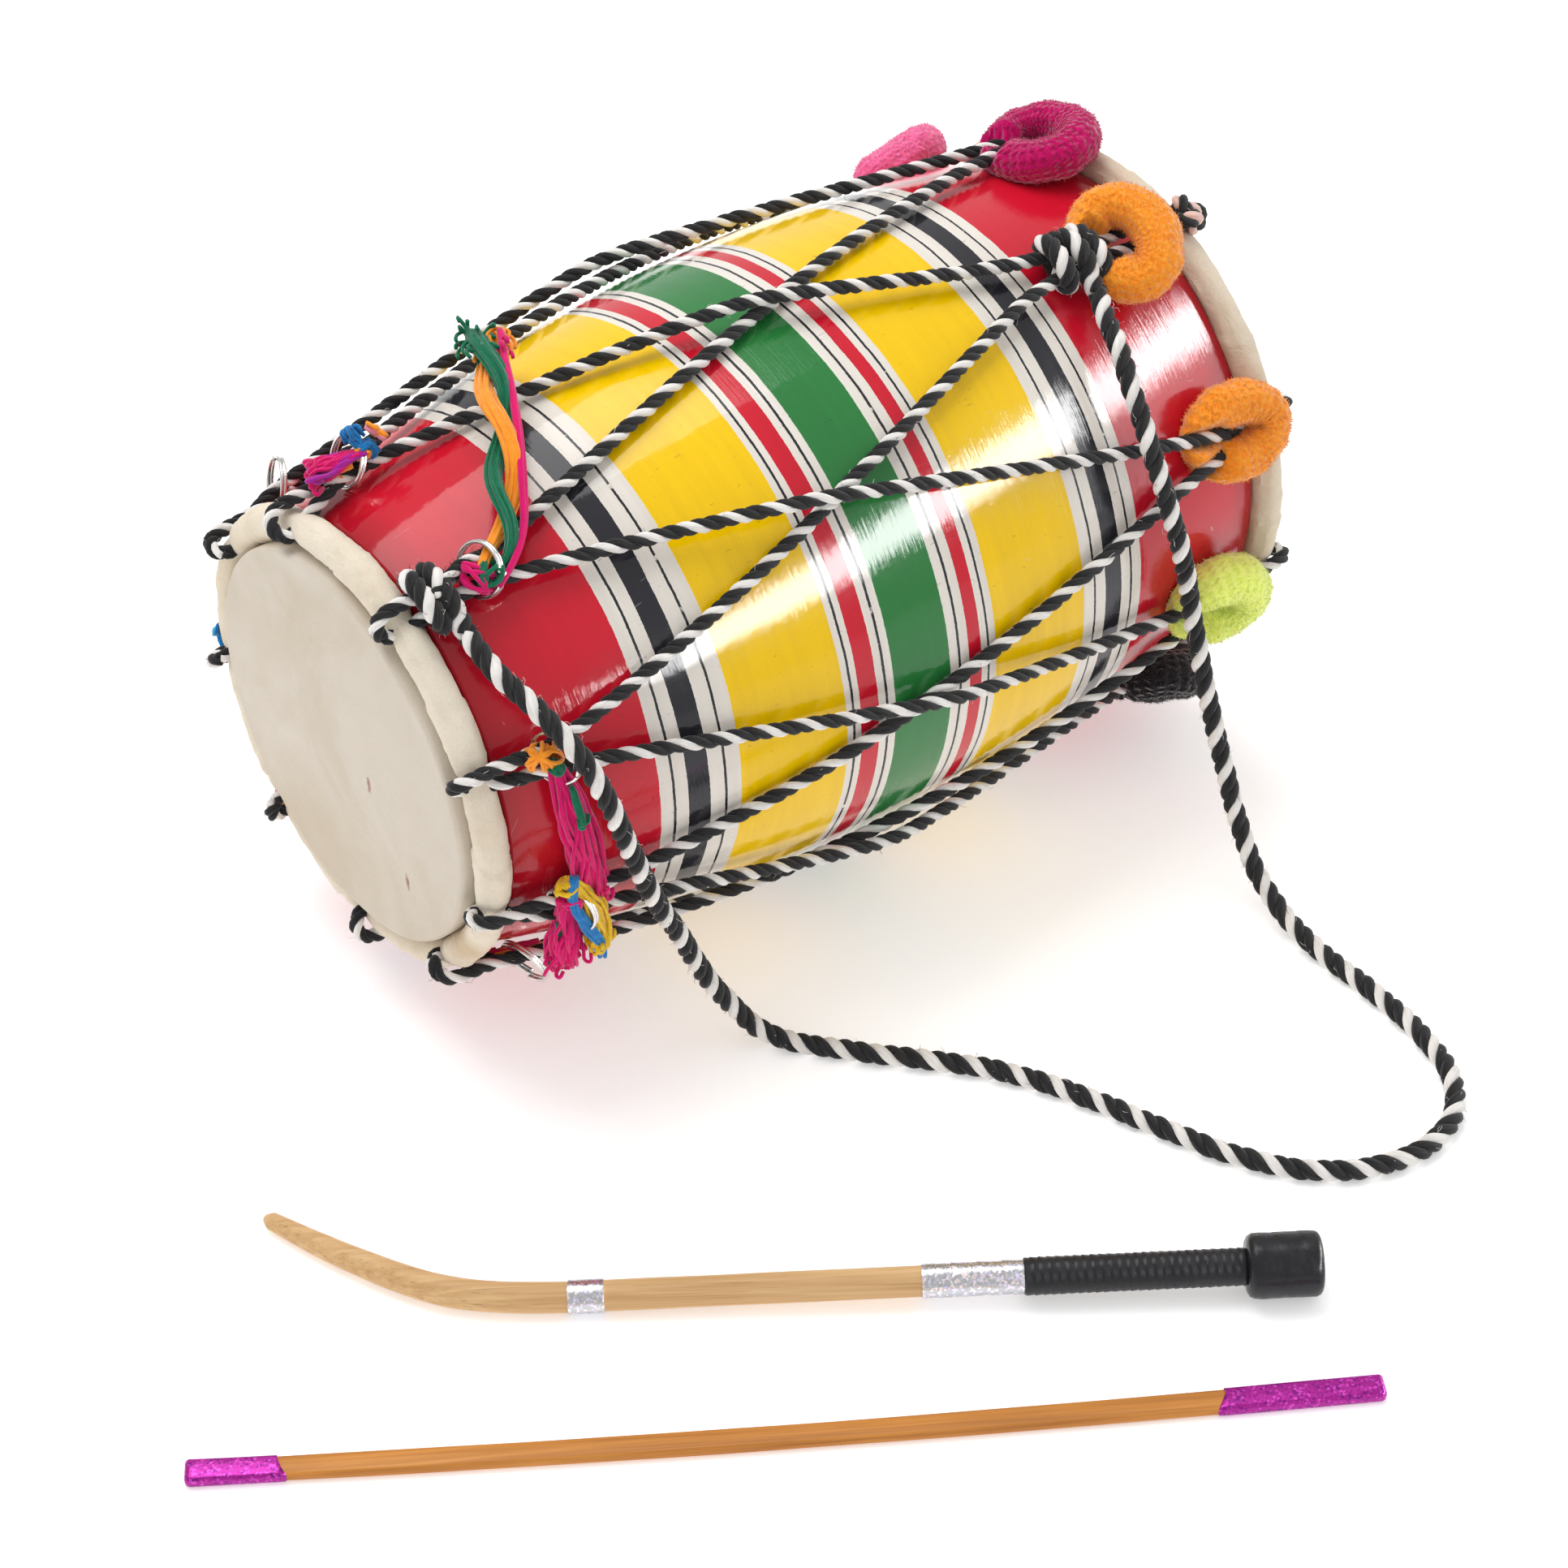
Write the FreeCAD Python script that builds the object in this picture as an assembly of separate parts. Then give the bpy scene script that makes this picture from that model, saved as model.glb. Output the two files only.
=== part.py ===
import FreeCAD, Part
import math
import os

os.makedirs("parts", exist_ok=True)

V = FreeCAD.Vector

# Lengths are in millimetres and angles in degrees.
# X runs along the drum from the small near head to the large far head, Z is up.
# Stations along X are measured from the middle of the green band.
# Angles round the drum start at the top and grow towards the player's side, -Y.

# barrel shell
belly_x = 32.4
belly_r = 117.1
belly_wall = 10.0
near_taper_r = 29.2
far_taper_r = 12.6
near_end_r = belly_r - near_taper_r
far_end_r = belly_r - far_taper_r
near_end_x = -167.0
far_end_x = 179.0
lip_wall = 8.0
lip_round = 2.0
shoulder_round = 1.2

# heads
near_lip_len = 9.0
far_lip_len = 9.1
skin_t = 1.2
skin_dome = 1.6
skin_skirt = 12.0
skin_corner = 2.2
fit_gap = 0.15

# hoops
hoop_roll_r = 6.7
near_hoop_gap = 0.3
near_hoop_inset = 1.6
far_hoop_outset = 0.2
near_hoop_x = near_end_x - hoop_roll_r - near_hoop_gap
near_hoop_r = near_end_r - near_hoop_inset
far_hoop_x = far_end_x + hoop_roll_r
far_hoop_r = far_end_r + far_hoop_outset
# the heads lie beyond their hoops
near_face_x = near_hoop_x - near_lip_len
far_face_x = far_hoop_x + far_lip_len

# lacing rope
lace_count = 9
lace_r = 3.1
lace_gap = 0.4
lace_first_deg = 20.0
lace_spread = 3.7
lace_rise = 7.5
hook_run = 11.0
near_pair_len = 27.0
far_pair_len = 33.7
pair_near_x = near_hoop_x + near_pair_len
pair_far_x = far_hoop_x - far_pair_len
hump_half = 16.0
hump_lift = 0.5
hole_gap = 0.25
bend_share = 0.45
# hand-laid offsets of the lacing points, as shares of the pitch
near_drift_shares = (0.15, 0.15, 0.12, 0.02, 0.0, 0.0, 0.03, 0.05, 0.05)
far_drift_shares = (0.06, 0.17, 0.10, 0.03, 0.0, 0.0, 0.03, 0.05, 0.12)
# corners of a hook round the roll: along the axis and outward as shares
# of the wrap radius, and sideways as shares of the spread
hook_axial_shares = (0.95, 1.235, 0.60)
hook_radial_shares = (1.02, 0.245, -0.285)
hook_side_shares = (-1.0, -0.35, 0.60)
# where the lower run bends over the barrel, as shares of the run
drape_shares = (0.16, 0.38, 0.62, 0.83)
drape_lift = 1.5

# tuning rings
ring_in_r = 9.3
ring_wire_r = 0.75
ring_turn_share = 0.9
ring_tilt_deg = 40.0
ring_lift = 2.0
ring_back = 2.0
first_ring_ahead = 4.5

# tassels
tassel_neck_r = 1.8
tassel_head_r = 4.0
tassel_skirt_r = 6.0
tassel_len = 33.0
tassel_head_at = 6.0
tassel_waist_at = 11.0
tassel_waist_r = 2.6
# lean of each hanging tassel: along the rope, round the drum, outward
tassel_lean_shares = (
    (0.0, 0.0, 0.0), (0.10, 0.93, -0.32), (0.0, 0.97, 0.10),
    (0.0, 0.63, 0.775), (-0.60, 0.60, 0.42), (0.0, -0.64, 0.766),
    (0.0, -0.97, -0.10), (0.0, -0.93, -0.32), (-0.45, -0.83, -0.28))
# the long tassel of the first ring, thrown over the drum
thrown_r = 4.2
thrown_seat_share = 0.6
thrown_rise = 17.0
thrown_x = (-124.0, -113.0, -100.0, -84.0)
thrown_deg = (21.0, 10.0, -3.5, -17.0)

# pompoms
pom_roll_r = 7.8
pom_gap = 0.35
pom_arm = 25.0
pom_ride = 1.6
pom_flare = 2.2
pom_back_len = 16.4
pom_x = far_hoop_x - pom_back_len
# the roll under the drum is pressed flat on the floor
pressed_roll = 4

# strap and its knots
strap_r = 4.4
strap_gap = 0.3
knot_pitch_share = 1.6
near_knot_len = 13.7
far_knot_len = 62.2
far_gather_len = 12.5
near_knot_x = near_hoop_x + near_knot_len
far_knot_x = far_hoop_x - far_knot_len
far_gather_x = far_knot_x - far_gather_len
knot_ease = 0.6
knot_stub = 5.5
knot_lead = 9.0
# the strap's route over the drum: station, rise of its middle off the shell, angle
strap_near_route = (
    (-156.5, 14.0, 48.0), (-149.0, 19.5, 56.0), (-140.0, 24.2, 64.5),
    (-133.5, 22.0, 73.5), (-128.0, 17.5, 83.5), (-121.0, 14.6, 94.5), (-114.0, 16.0, 106.0))
strap_far_route = (
    (121.0, 14.2, 41.5), (116.0, 15.7, 48.5), (114.0, 15.7, 59.0),
    (116.0, 15.7, 70.5), (121.0, 15.2, 82.0), (126.5, 14.7, 93.0))
# its falls beside the drum
strap_near_fall = ((-106.0, -108.5, -57.0), (-98.0, -108.0, -82.0), (-88.0, -111.0, -104.0))
strap_far_fall = ((128.0, -139.0, -46.0), (127.4, -151.5, -71.0), (126.0, -165.0, -95.0), (123.5, -182.0, -112.0))
# its way over the floor
strap_floor_route = (
    (-78.0, -122.0), (-62.0, -142.0), (-42.0, -164.0), (-20.0, -188.0), (-4.0, -217.0), (8.0, -248.0),
    (20.0, -277.0), (38.0, -302.0), (64.0, -317.0), (92.0, -318.0), (113.0, -302.0), (121.5, -274.0),
    (122.5, -242.0), (121.0, -212.0))

# stopper knot of the lacing
stopper_r = 6.0
stopper_deg = 15.5

# dagga, the bent beater: place of its knob's end, and its heading
dagga_end = (3.1, -339.1)
dagga_heading_deg = -35.86
dagga_straight = 269.0
dagga_r = 5.6
dagga_tip_r = 3.3
# its bent end: along the straight line, off it, and thickness
dagga_bend_along = (0.0, 14.5, 28.9, 43.4, 58.1, 72.9, 87.9, 107.9)
dagga_bend_off = (0.0, 0.2, 1.3, 4.1, 10.3, 18.6, 27.6, 42.1)
dagga_bend_r_shares = (1.0, 1.0, 1.0, 0.99, 0.95, 0.88, 0.8, 0.6)
foil_t = 0.5
band_len = 13.0
band_start = dagga_straight - band_len
foil_len = 36.5
grip_t = 1.1
grip_len = 79.4
knob_r = 12.0
knob_len = 27.0
foil_start = knob_len + grip_len
knob_round = 2.5
knob_socket = 18.0

# tilli, the flat cane: its two ends, its bow and its section
tilli_start = (-361.6, -162.1)
tilli_end = (-12.7, -388.0)
tilli_bow = 3.2
tilli_wide = 9.0
tilli_thick = 4.2
tilli_foil_t = 0.35
tilli_wrap_start = 33.0
tilli_wrap_end = 58.0
tilli_bow_shares = (0.40, 0.66)


def turn_x(x, r, deg):
    """A point at station x, radius r and angle round the drum."""
    a = math.radians(deg)
    return V(x, -r * math.sin(a), r * math.cos(a))


def side_deg(side, r):
    """The angle that a sideways distance takes at radius r."""
    return math.degrees(side / r)


def polar(point):
    """Station, radius and angle of a point."""
    return point.x, math.hypot(point.y, point.z), math.degrees(math.atan2(-point.y, point.z))


def arc_fall(span, rise, part):
    """How far an arc that falls by rise over span has fallen at part of the span."""
    radius = (span * span + rise * rise) / (2 * rise)
    return radius - math.sqrt(radius * radius - part * part)


def shell_r(x):
    """Outer radius of the barrel at station x."""
    end_x = near_end_x if x < belly_x else far_end_x
    end_r = near_end_r if x < belly_x else far_end_r
    return belly_r - arc_fall(abs(end_x - belly_x), belly_r - end_r, abs(x - belly_x))


def rounded_wire(points, radii):
    """Straight runs between the points, with a tangent arc of its radius at each inner corner."""
    last = len(points) - 1
    edges = []
    here = points[0]
    for i in range(1, last):
        u = (points[i - 1] - points[i]).normalize()
        w = (points[i + 1] - points[i]).normalize()
        half = u.getAngle(w) / 2
        reach = radii[i - 1] / math.tan(half)
        middle = (u + w).normalize() * (radii[i - 1] / math.sin(half) - radii[i - 1])
        start = points[i] + u * reach
        end = points[i] + w * reach
        edges.append(Part.LineSegment(here, start).toShape())
        edges.append(Part.Arc(start, points[i] + middle, end).toShape())
        here = end
    edges.append(Part.LineSegment(here, points[last]).toShape())
    return Part.Wire(edges)


def cord_wire(points, end_share=bend_share):
    """A cord's middle line: straight runs joined by the largest arcs that fit."""
    radii = []
    last = len(points) - 1
    for i in range(1, last):
        share_before = end_share if i == 1 else bend_share
        share_after = end_share if i == last - 1 else bend_share
        before = (points[i] - points[i - 1]).Length * share_before
        after = (points[i + 1] - points[i]).Length * share_after
        half_turn = (points[i] - points[i - 1]).getAngle(points[i + 1] - points[i]) / 2
        radii.append(min(before, after) / math.tan(half_turn))
    return rounded_wire(points, radii), radii


def sweep(wire, radius):
    """A round tube along a smooth wire."""
    first = wire.Edges[0]
    start = first.valueAt(first.FirstParameter)
    along = first.tangentAt(first.FirstParameter)
    ring = Part.Wire([Part.Circle(start, along, radius).toShape()])
    return wire.makePipeShell([ring], True, False)


def cord(points, radius, name, end_share=bend_share):
    """A cord tube. Its length, tightest bend and volume against section times length are printed."""
    wire, radii = cord_wire(points, end_share)
    tube = sweep(wire, radius)
    want = math.pi * radius * radius * wire.Length
    print(name, "length", round(wire.Length, 1), "tightest bend", round(min(radii), 1),
          "volume ratio", round(tube.Volume / want, 4))
    return tube


def capped(points, radius):
    """A soft roll with round ends."""
    roll = sweep(cord_wire(points)[0], radius)
    for end in (points[0], points[-1]):
        roll = roll.fuse(Part.makeSphere(radius, end))
    return roll.removeSplitter()


def neck_r(hoop_r):
    """Radius of the turned neck that carries skin and hoop."""
    return hoop_r - hoop_roll_r - fit_gap - skin_t - fit_gap


def rims(solid, x, least_r):
    """The circular edges of a turned solid at station x."""
    found = []
    for edge in solid.Edges:
        if isinstance(edge.Curve, Part.Circle) and edge.Curve.Radius > least_r:
            if abs(edge.Curve.Center.x - x) < fit_gap:
                found.append(edge)
    return found


def barrel_half(end_x, end_r, lip_x, neck):
    """One half of the shell, from the belly to its bearing edge."""
    crown = belly_r - belly_wall
    inner_end = neck - lip_wall
    mid_x = (end_x + belly_x) / 2
    outer = Part.Arc(V(belly_x, belly_r, 0), V(mid_x, shell_r(mid_x), 0), V(end_x, end_r, 0)).toShape()
    steps = [V(end_x, end_r, 0), V(end_x, neck, 0), V(lip_x, neck, 0), V(lip_x, inner_end, 0)]
    walls = [Part.LineSegment(steps[i], steps[i + 1]).toShape() for i in range(3)]
    in_mid_x = (lip_x + belly_x) / 2
    in_mid_r = crown - arc_fall(abs(lip_x - belly_x), crown - inner_end, abs(in_mid_x - belly_x))
    inner = Part.Arc(V(lip_x, inner_end, 0), V(in_mid_x, in_mid_r, 0), V(belly_x, crown, 0)).toShape()
    close = Part.LineSegment(V(belly_x, crown, 0), V(belly_x, belly_r, 0)).toShape()
    half = Part.Face(Part.Wire([outer] + walls + [inner, close])).revolve(V(0, 0, 0), V(1, 0, 0), 360)
    half = half.makeFillet(lip_round, rims(half, lip_x, 0))
    return half.makeFillet(shoulder_round, rims(half, end_x, neck + fit_gap))


def shell():
    """The hollow barrel."""
    near = barrel_half(near_end_x, near_end_r, near_face_x + skin_t, neck_r(near_hoop_r))
    far = barrel_half(far_end_x, far_end_r, far_face_x - skin_t, neck_r(far_hoop_r))
    return near.fuse(far).removeSplitter()


def skin(face_x, hoop_r, side):
    """A head: a slightly domed disc with a skirt over the shell's neck."""
    inner = neck_r(hoop_r) + fit_gap
    outer = inner + skin_t
    lip = neck_r(hoop_r) - lip_wall
    back_x = face_x - side * skin_t
    skirt_x = face_x - side * skin_skirt
    dome = side * skin_dome
    half_r = lip / 2
    half_dome = side * (skin_dome - arc_fall(lip, skin_dome, half_r))
    corner_x = face_x - side * skin_corner
    diag = skin_corner * (1 - math.sqrt(2) / 2)
    flat = outer - skin_corner
    edges = [
        Part.Arc(V(face_x + dome, 0, 0), V(face_x + half_dome, half_r, 0), V(face_x, lip, 0)).toShape(),
        Part.LineSegment(V(face_x, lip, 0), V(face_x, flat, 0)).toShape(),
        Part.Arc(V(face_x, flat, 0), V(face_x - side * diag, outer - diag, 0), V(corner_x, outer, 0)).toShape(),
        Part.LineSegment(V(corner_x, outer, 0), V(skirt_x, outer, 0)).toShape(),
        Part.LineSegment(V(skirt_x, outer, 0), V(skirt_x, inner, 0)).toShape(),
        Part.LineSegment(V(skirt_x, inner, 0), V(back_x, inner, 0)).toShape(),
        Part.LineSegment(V(back_x, inner, 0), V(back_x, lip, 0)).toShape(),
        Part.Arc(V(back_x, lip, 0), V(back_x + half_dome, half_r, 0), V(back_x + dome, 0, 0)).toShape(),
        Part.LineSegment(V(back_x + dome, 0, 0), V(face_x + dome, 0, 0)).toShape(),
    ]
    return Part.Face(Part.Wire(edges)).revolve(V(0, 0, 0), V(1, 0, 0), 360)


def lace_deg(k, drift_shares):
    """Angle of lacing point k on a hoop."""
    pitch = 360.0 / lace_count
    return lace_first_deg + pitch * (k + drift_shares[k % lace_count])


def near_deg(k):
    return lace_deg(k, near_drift_shares)


def far_deg(k):
    return lace_deg(k, far_drift_shares)


def near_pair_x(k):
    """Station where the near pair k parts. The first ring sits a little further on."""
    return pair_near_x + (first_ring_ahead if k % lace_count == 0 else 0)


def far_pair_x(k):
    """Station where the far pair k parts. The strap's knot gathers the first pair earlier."""
    return far_gather_x if k % lace_count == 0 else pair_far_x


def hook(hoop_x, hoop_r, side, deg):
    """The corners of a hook: over the roll, round its nose, into the hole."""
    wrap = hoop_roll_r + lace_r + lace_gap
    points = []
    for axial, radial, sideways in zip(hook_axial_shares, hook_radial_shares, hook_side_shares):
        r = hoop_r + wrap * radial
        points.append(turn_x(hoop_x + side * wrap * axial, r, deg + side_deg(lace_spread * sideways, r)))
    return points


def pair_point(x, deg, way, least_r=0):
    """A point of a rope pair, way -1 for the run over the roll and 1 for the one out of the hole."""
    r = max(shell_r(x) + lace_rise, least_r)
    return turn_x(x, r, deg + side_deg(lace_spread * way, r))


def hook_over(hoop_x, hoop_r, side, deg):
    """From the middle of the nose, over the roll, to where the run straightens."""
    over, nose, hole = hook(hoop_x, hoop_r, side, deg)
    least_r = hoop_r + hoop_roll_r + lace_r + lace_gap
    return [(nose + hole) * 0.5, nose, over, pair_point(hoop_x - side * hook_run, deg, -1, least_r)]


def hook_under(hoop_x, hoop_r, side, deg):
    """From the middle of the nose, through the hole, to where the run straightens."""
    over, nose, hole = hook(hoop_x, hoop_r, side, deg)
    return [(nose + hole) * 0.5, hole, pair_point(hoop_x - side * hook_run, deg, 1)]


def laid_deg(start, end, x):
    """The angle of a run between two points at station x."""
    first = polar(start)[2]
    turn = (polar(end)[2] - first) % 360.0
    turn = turn - 360.0 if turn > 180.0 else turn
    return first + turn * (x - start.x) / (end.x - start.x)


def lower_run(k):
    """The run from near point k + 1 back to far point k. It lies on the shell."""
    near = near_deg(k + 1)
    far = far_deg(k)
    a = pair_point(near_pair_x(k + 1), near, -1)
    b = pair_point(far_pair_x(k), far, 1)
    middle = []
    for share in drape_shares:
        x = a.x + (b.x - a.x) * share
        r = shell_r(x) + lace_gap + lace_r + drape_lift
        middle.append(turn_x(x, r, laid_deg(a, b, x)))
    start = hook_over(near_hoop_x, near_hoop_r, -1, near)
    end = hook_under(far_hoop_x, far_hoop_r, 1, far)
    return start + [a] + middle + [b] + end[::-1]


def cross_x(k):
    """Station where the two runs between points k and k + 1 cross."""
    up_a = pair_point(near_pair_x(k), near_deg(k), 1)
    up_b = pair_point(far_pair_x(k + 1), far_deg(k + 1), -1)
    low_a = pair_point(near_pair_x(k + 1), near_deg(k + 1), -1)
    low_b = pair_point(far_pair_x(k), far_deg(k), 1)
    low = pair_near_x
    high = pair_far_x
    for step in range(24):
        x = (low + high) / 2
        apart = (laid_deg(low_a, low_b, x) - laid_deg(up_a, up_b, x)) % 360.0
        if 0 < apart < 180.0:
            low = x
        else:
            high = x
    return (low + high) / 2


def upper_run(k):
    """The run from near point k to far point k + 1. It rides over the lower run."""
    near = near_deg(k)
    far = far_deg(k + 1)
    a = pair_point(near_pair_x(k), near, 1)
    b = pair_point(far_pair_x(k + 1), far, -1)
    x = cross_x(k)
    r = shell_r(x) + 2 * lace_gap + 3 * lace_r + hump_lift
    hump = [turn_x(x + way * hump_half, r, laid_deg(a, b, x + way * hump_half)) for way in (-1, 1)]
    start = hook_under(near_hoop_x, near_hoop_r, -1, near)
    end = hook_over(far_hoop_x, far_hoop_r, 1, far)
    return start + [a] + hump + [b] + end[::-1]


def lacing(k):
    """The V at near point k: its upper run and the lower run beside it."""
    up = cord(upper_run(k), lace_r, "lacing upper", 2 * bend_share)
    low = cord(lower_run(k - 1), lace_r, "lacing lower", 2 * bend_share)
    return Part.makeCompound([up, low])


def floor_z():
    """The lowest height that the lacing reaches, which is the floor."""
    heights = []
    for k in range(lace_count):
        wire = cord_wire(upper_run(k), 2 * bend_share)[0]
        heights.append(wire.BoundBox.ZMin - lace_r)
    return min(heights)


def hoop(x, r, side, degs):
    """A wrapped hoop with one slanted hole per lacing point."""
    roll = Part.makeTorus(r, hoop_roll_r, V(x, 0, 0), V(1, 0, 0))
    for deg in degs:
        wire = cord_wire(hook_under(x, r, side, deg), 2 * bend_share)[0]
        roll = roll.cut(sweep(wire, lace_r + hole_gap))
    return roll


class Frame:
    """Directions at a rope pair: along it, round the drum, and outward."""

    def __init__(self, x, deg, way):
        step = hoop_roll_r * way
        behind = turn_x(x - step, shell_r(x - step) + lace_rise, deg)
        self.at = turn_x(x, shell_r(x) + lace_rise, deg)
        self.along = (self.at - behind).normalize()
        a = math.radians(deg)
        self.round = V(0, -math.cos(a), -math.sin(a))
        self.out = self.round.cross(self.along).normalize()
        if self.out.dot(turn_x(0, 1, deg)) < 0:
            self.out = self.out * -1

    def point(self, along, sideways, out):
        return self.at + self.along * along + self.round * sideways + self.out * out


def ring_frame(k):
    frame = Frame(near_pair_x(k), near_deg(k), 1)
    return frame, frame.point(-ring_back, 0, ring_lift)


def tuning_ring(k):
    """A split ring of two turns, tilted over the rope pair."""
    frame, centre = ring_frame(k)
    tilt = math.radians(ring_tilt_deg)
    normal = (frame.along * math.cos(tilt) - frame.out * math.sin(tilt)).normalize()
    shift = normal * (ring_wire_r * ring_turn_share)
    middle = ring_in_r + ring_wire_r
    turns = [Part.makeTorus(middle, ring_wire_r, centre + shift * way, normal) for way in (-1, 1)]
    return turns[0].fuse(turns[1]).removeSplitter()


def hanging_tassel(k):
    """A bundle tied on the ring's wires: neck, head knot, waist and a skirt that flares."""
    frame, centre = ring_frame(k)
    along, sideways, out = tassel_lean_shares[k]
    lean = (frame.along * along + frame.round * sideways + frame.out * out).normalize()
    rim = frame.round * math.copysign(1, sideways)
    start = centre + rim * (ring_in_r + ring_wire_r)
    stations = (0, tassel_head_at, tassel_waist_at, tassel_len - tassel_skirt_r, tassel_len)
    radii = (tassel_neck_r, tassel_head_r, tassel_waist_r, tassel_skirt_r, tassel_skirt_r * bend_share)
    rings = []
    for at, r in zip(stations, radii):
        rings.append(Part.Wire([Part.Circle(start + lean * at, lean, r).toShape()]))
    return Part.makeLoft(rings, True, False)


def thrown_tassel():
    """The first ring's long tassel, thrown back over the ropes."""
    frame, centre = ring_frame(0)
    tilt = math.radians(ring_tilt_deg)
    reach = ring_in_r + ring_wire_r + thrown_r * thrown_seat_share
    top = frame.along * math.sin(tilt) + frame.out * math.cos(tilt)
    points = [centre + top * reach]
    for x, deg in zip(thrown_x, thrown_deg):
        points.append(turn_x(x, shell_r(x) + thrown_rise, deg))
    return capped(points, thrown_r)


def pompom(k, floor):
    """A thick wool roll bent like a horseshoe over the rope pair."""
    frame = Frame(pom_x, far_deg(k), 1)
    beside = lace_spread + lace_r + pom_gap + pom_roll_r
    low = pom_gap + pom_roll_r - lace_rise
    high = lace_r + pom_gap + pom_roll_r + pom_ride
    points = [
        frame.point(-pom_arm, -beside - pom_flare, low), frame.point(0, -beside, high),
        frame.point(0, beside, high), frame.point(-pom_arm, beside + pom_flare, low)]
    roll = capped(points, pom_roll_r)
    if k == pressed_roll:
        half = 2 * pom_arm
        under = Part.makeBox(2 * half, 2 * half, half, V(frame.at.x - half, frame.at.y - half, floor - half))
        roll = roll.cut(under)
    return roll


def knot_beside():
    """How far beside the pair's middle the knot's legs stand."""
    return lace_spread + lace_r + strap_gap + knot_ease + strap_r


def knot_arch(frame, along):
    """One turn of the strap over the rope pair."""
    beside = knot_beside()
    foot = strap_gap + strap_r - lace_rise
    top = lace_r + strap_gap + knot_ease + strap_r
    points = [
        frame.point(along, -beside, foot), frame.point(along, -beside, top),
        frame.point(along, beside, top), frame.point(along, beside, foot)]
    return capped(points, strap_r)


def strap_start(frame):
    """Where the strap leaves a knot, and a point that keeps it straight with the stub."""
    reach = knot_beside() + knot_stub
    return [frame.point(0, reach, 0), frame.point(0, reach + knot_lead, 0)]


def knot(frame, turns):
    """The hitch: turns over the pair, and a short stub for the strap."""
    body = knot_arch(frame, 0)
    for turn in range(1, turns):
        body = body.fuse(knot_arch(frame, turn * strap_r * knot_pitch_share))
    stub = Part.makeCylinder(strap_r, knot_stub, frame.point(0, knot_beside(), 0), frame.round)
    return body.fuse(stub).removeSplitter()


def near_knot_frame():
    return Frame(near_knot_x, near_deg(0), 1)


def far_knot_frame():
    return Frame(far_knot_x, far_deg(0), 1)


def strap(floor):
    """The shoulder rope, from knot to knot over the floor."""
    points = strap_start(near_knot_frame())
    for x, rise, deg in strap_near_route:
        points.append(turn_x(x, shell_r(x) + rise, deg))
    for x, y, z in strap_near_fall:
        points.append(V(x, y, z))
    for x, y in strap_floor_route:
        points.append(V(x, y, floor + strap_r))
    for x, y, z in strap_far_fall[::-1]:
        points.append(V(x, y, z))
    for x, rise, deg in strap_far_route[::-1]:
        points.append(turn_x(x, shell_r(x) + rise, deg))
    points += strap_start(far_knot_frame())[::-1]
    return cord(points, strap_r, "strap")


def stopper_knot():
    """The knot that ends the lacing rope, resting on the far hoop."""
    r = far_hoop_r + hoop_roll_r + strap_gap + stopper_r
    return Part.makeSphere(stopper_r, turn_x(far_hoop_x, r, stopper_deg))


def dagga_axis(floor):
    """The knob's end and the way back along the stick, which lies on its knob and its silver band."""
    a = math.radians(dagga_heading_deg)
    low = dagga_r + fit_gap + foil_t
    slope = (knob_r - low) / (dagga_straight - knob_len)
    end = V(dagga_end[0], dagga_end[1], floor + knob_r + slope * knob_len)
    start = V(end.x - dagga_straight * math.cos(a), end.y - dagga_straight * math.sin(a), floor + low)
    return end, (start - end).normalize()


def dagga_shaft(floor):
    """The wooden stick: a straight length and a bent, tapering end."""
    end, back = dagga_axis(floor)
    across = V(0, 0, 1).cross(back).normalize() * -1
    seat = knob_len - knob_socket
    straight = Part.makeCylinder(dagga_r, dagga_straight - seat, end + back * seat, back)
    bend = end + back * dagga_straight
    flat_back = V(back.x, back.y, 0).normalize()
    rings = []
    last = len(dagga_bend_along) - 1
    for i, (along, off, share) in enumerate(zip(dagga_bend_along, dagga_bend_off, dagga_bend_r_shares)):
        before = max(i - 1, 0)
        after = min(i + 1, last)
        run = dagga_bend_along[after] - dagga_bend_along[before]
        lean = dagga_bend_off[after] - dagga_bend_off[before]
        way = (flat_back * run + across * lean).normalize() if i else back
        r = dagga_r * share
        drop = V(0, 0, r - dagga_r)
        rings.append(Part.Wire([Part.Circle(bend + flat_back * along + across * off + drop, way, r).toShape()]))
    tail = Part.makeLoft(rings, True, False)
    return straight.fuse(tail).removeSplitter()


def sleeve(floor, start, length, inner, thick):
    """A wrap round the straight stick."""
    end, back = dagga_axis(floor)
    at = end + back * start
    tube = Part.makeCylinder(inner + thick, length, at, back)
    return tube.cut(Part.makeCylinder(inner, length, at, back))


def dagga_knob(floor):
    """The wound knob, bored for the stick."""
    end, back = dagga_axis(floor)
    body = Part.makeCylinder(knob_r, knob_len, end, back)
    rounds = [e for e in body.Edges if isinstance(e.Curve, Part.Circle)]
    body = body.makeFillet(knob_round, rounds)
    seat = knob_len - knob_socket
    bore = Part.makeCylinder(dagga_r + fit_gap, knob_len, end + back * (seat - fit_gap), back)
    return body.cut(bore)


def tilli_line(floor):
    """The cane's middle line, with a slight bow."""
    a = V(tilli_start[0], tilli_start[1], floor + tilli_thick / 2 + tilli_foil_t + fit_gap)
    b = V(tilli_end[0], tilli_end[1], floor + tilli_thick / 2 + tilli_foil_t + fit_gap)
    across = (b - a).cross(V(0, 0, 1)).normalize()
    inner = [a + (b - a) * share + across * tilli_bow for share in tilli_bow_shares]
    return [a] + inner + [b]


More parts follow.
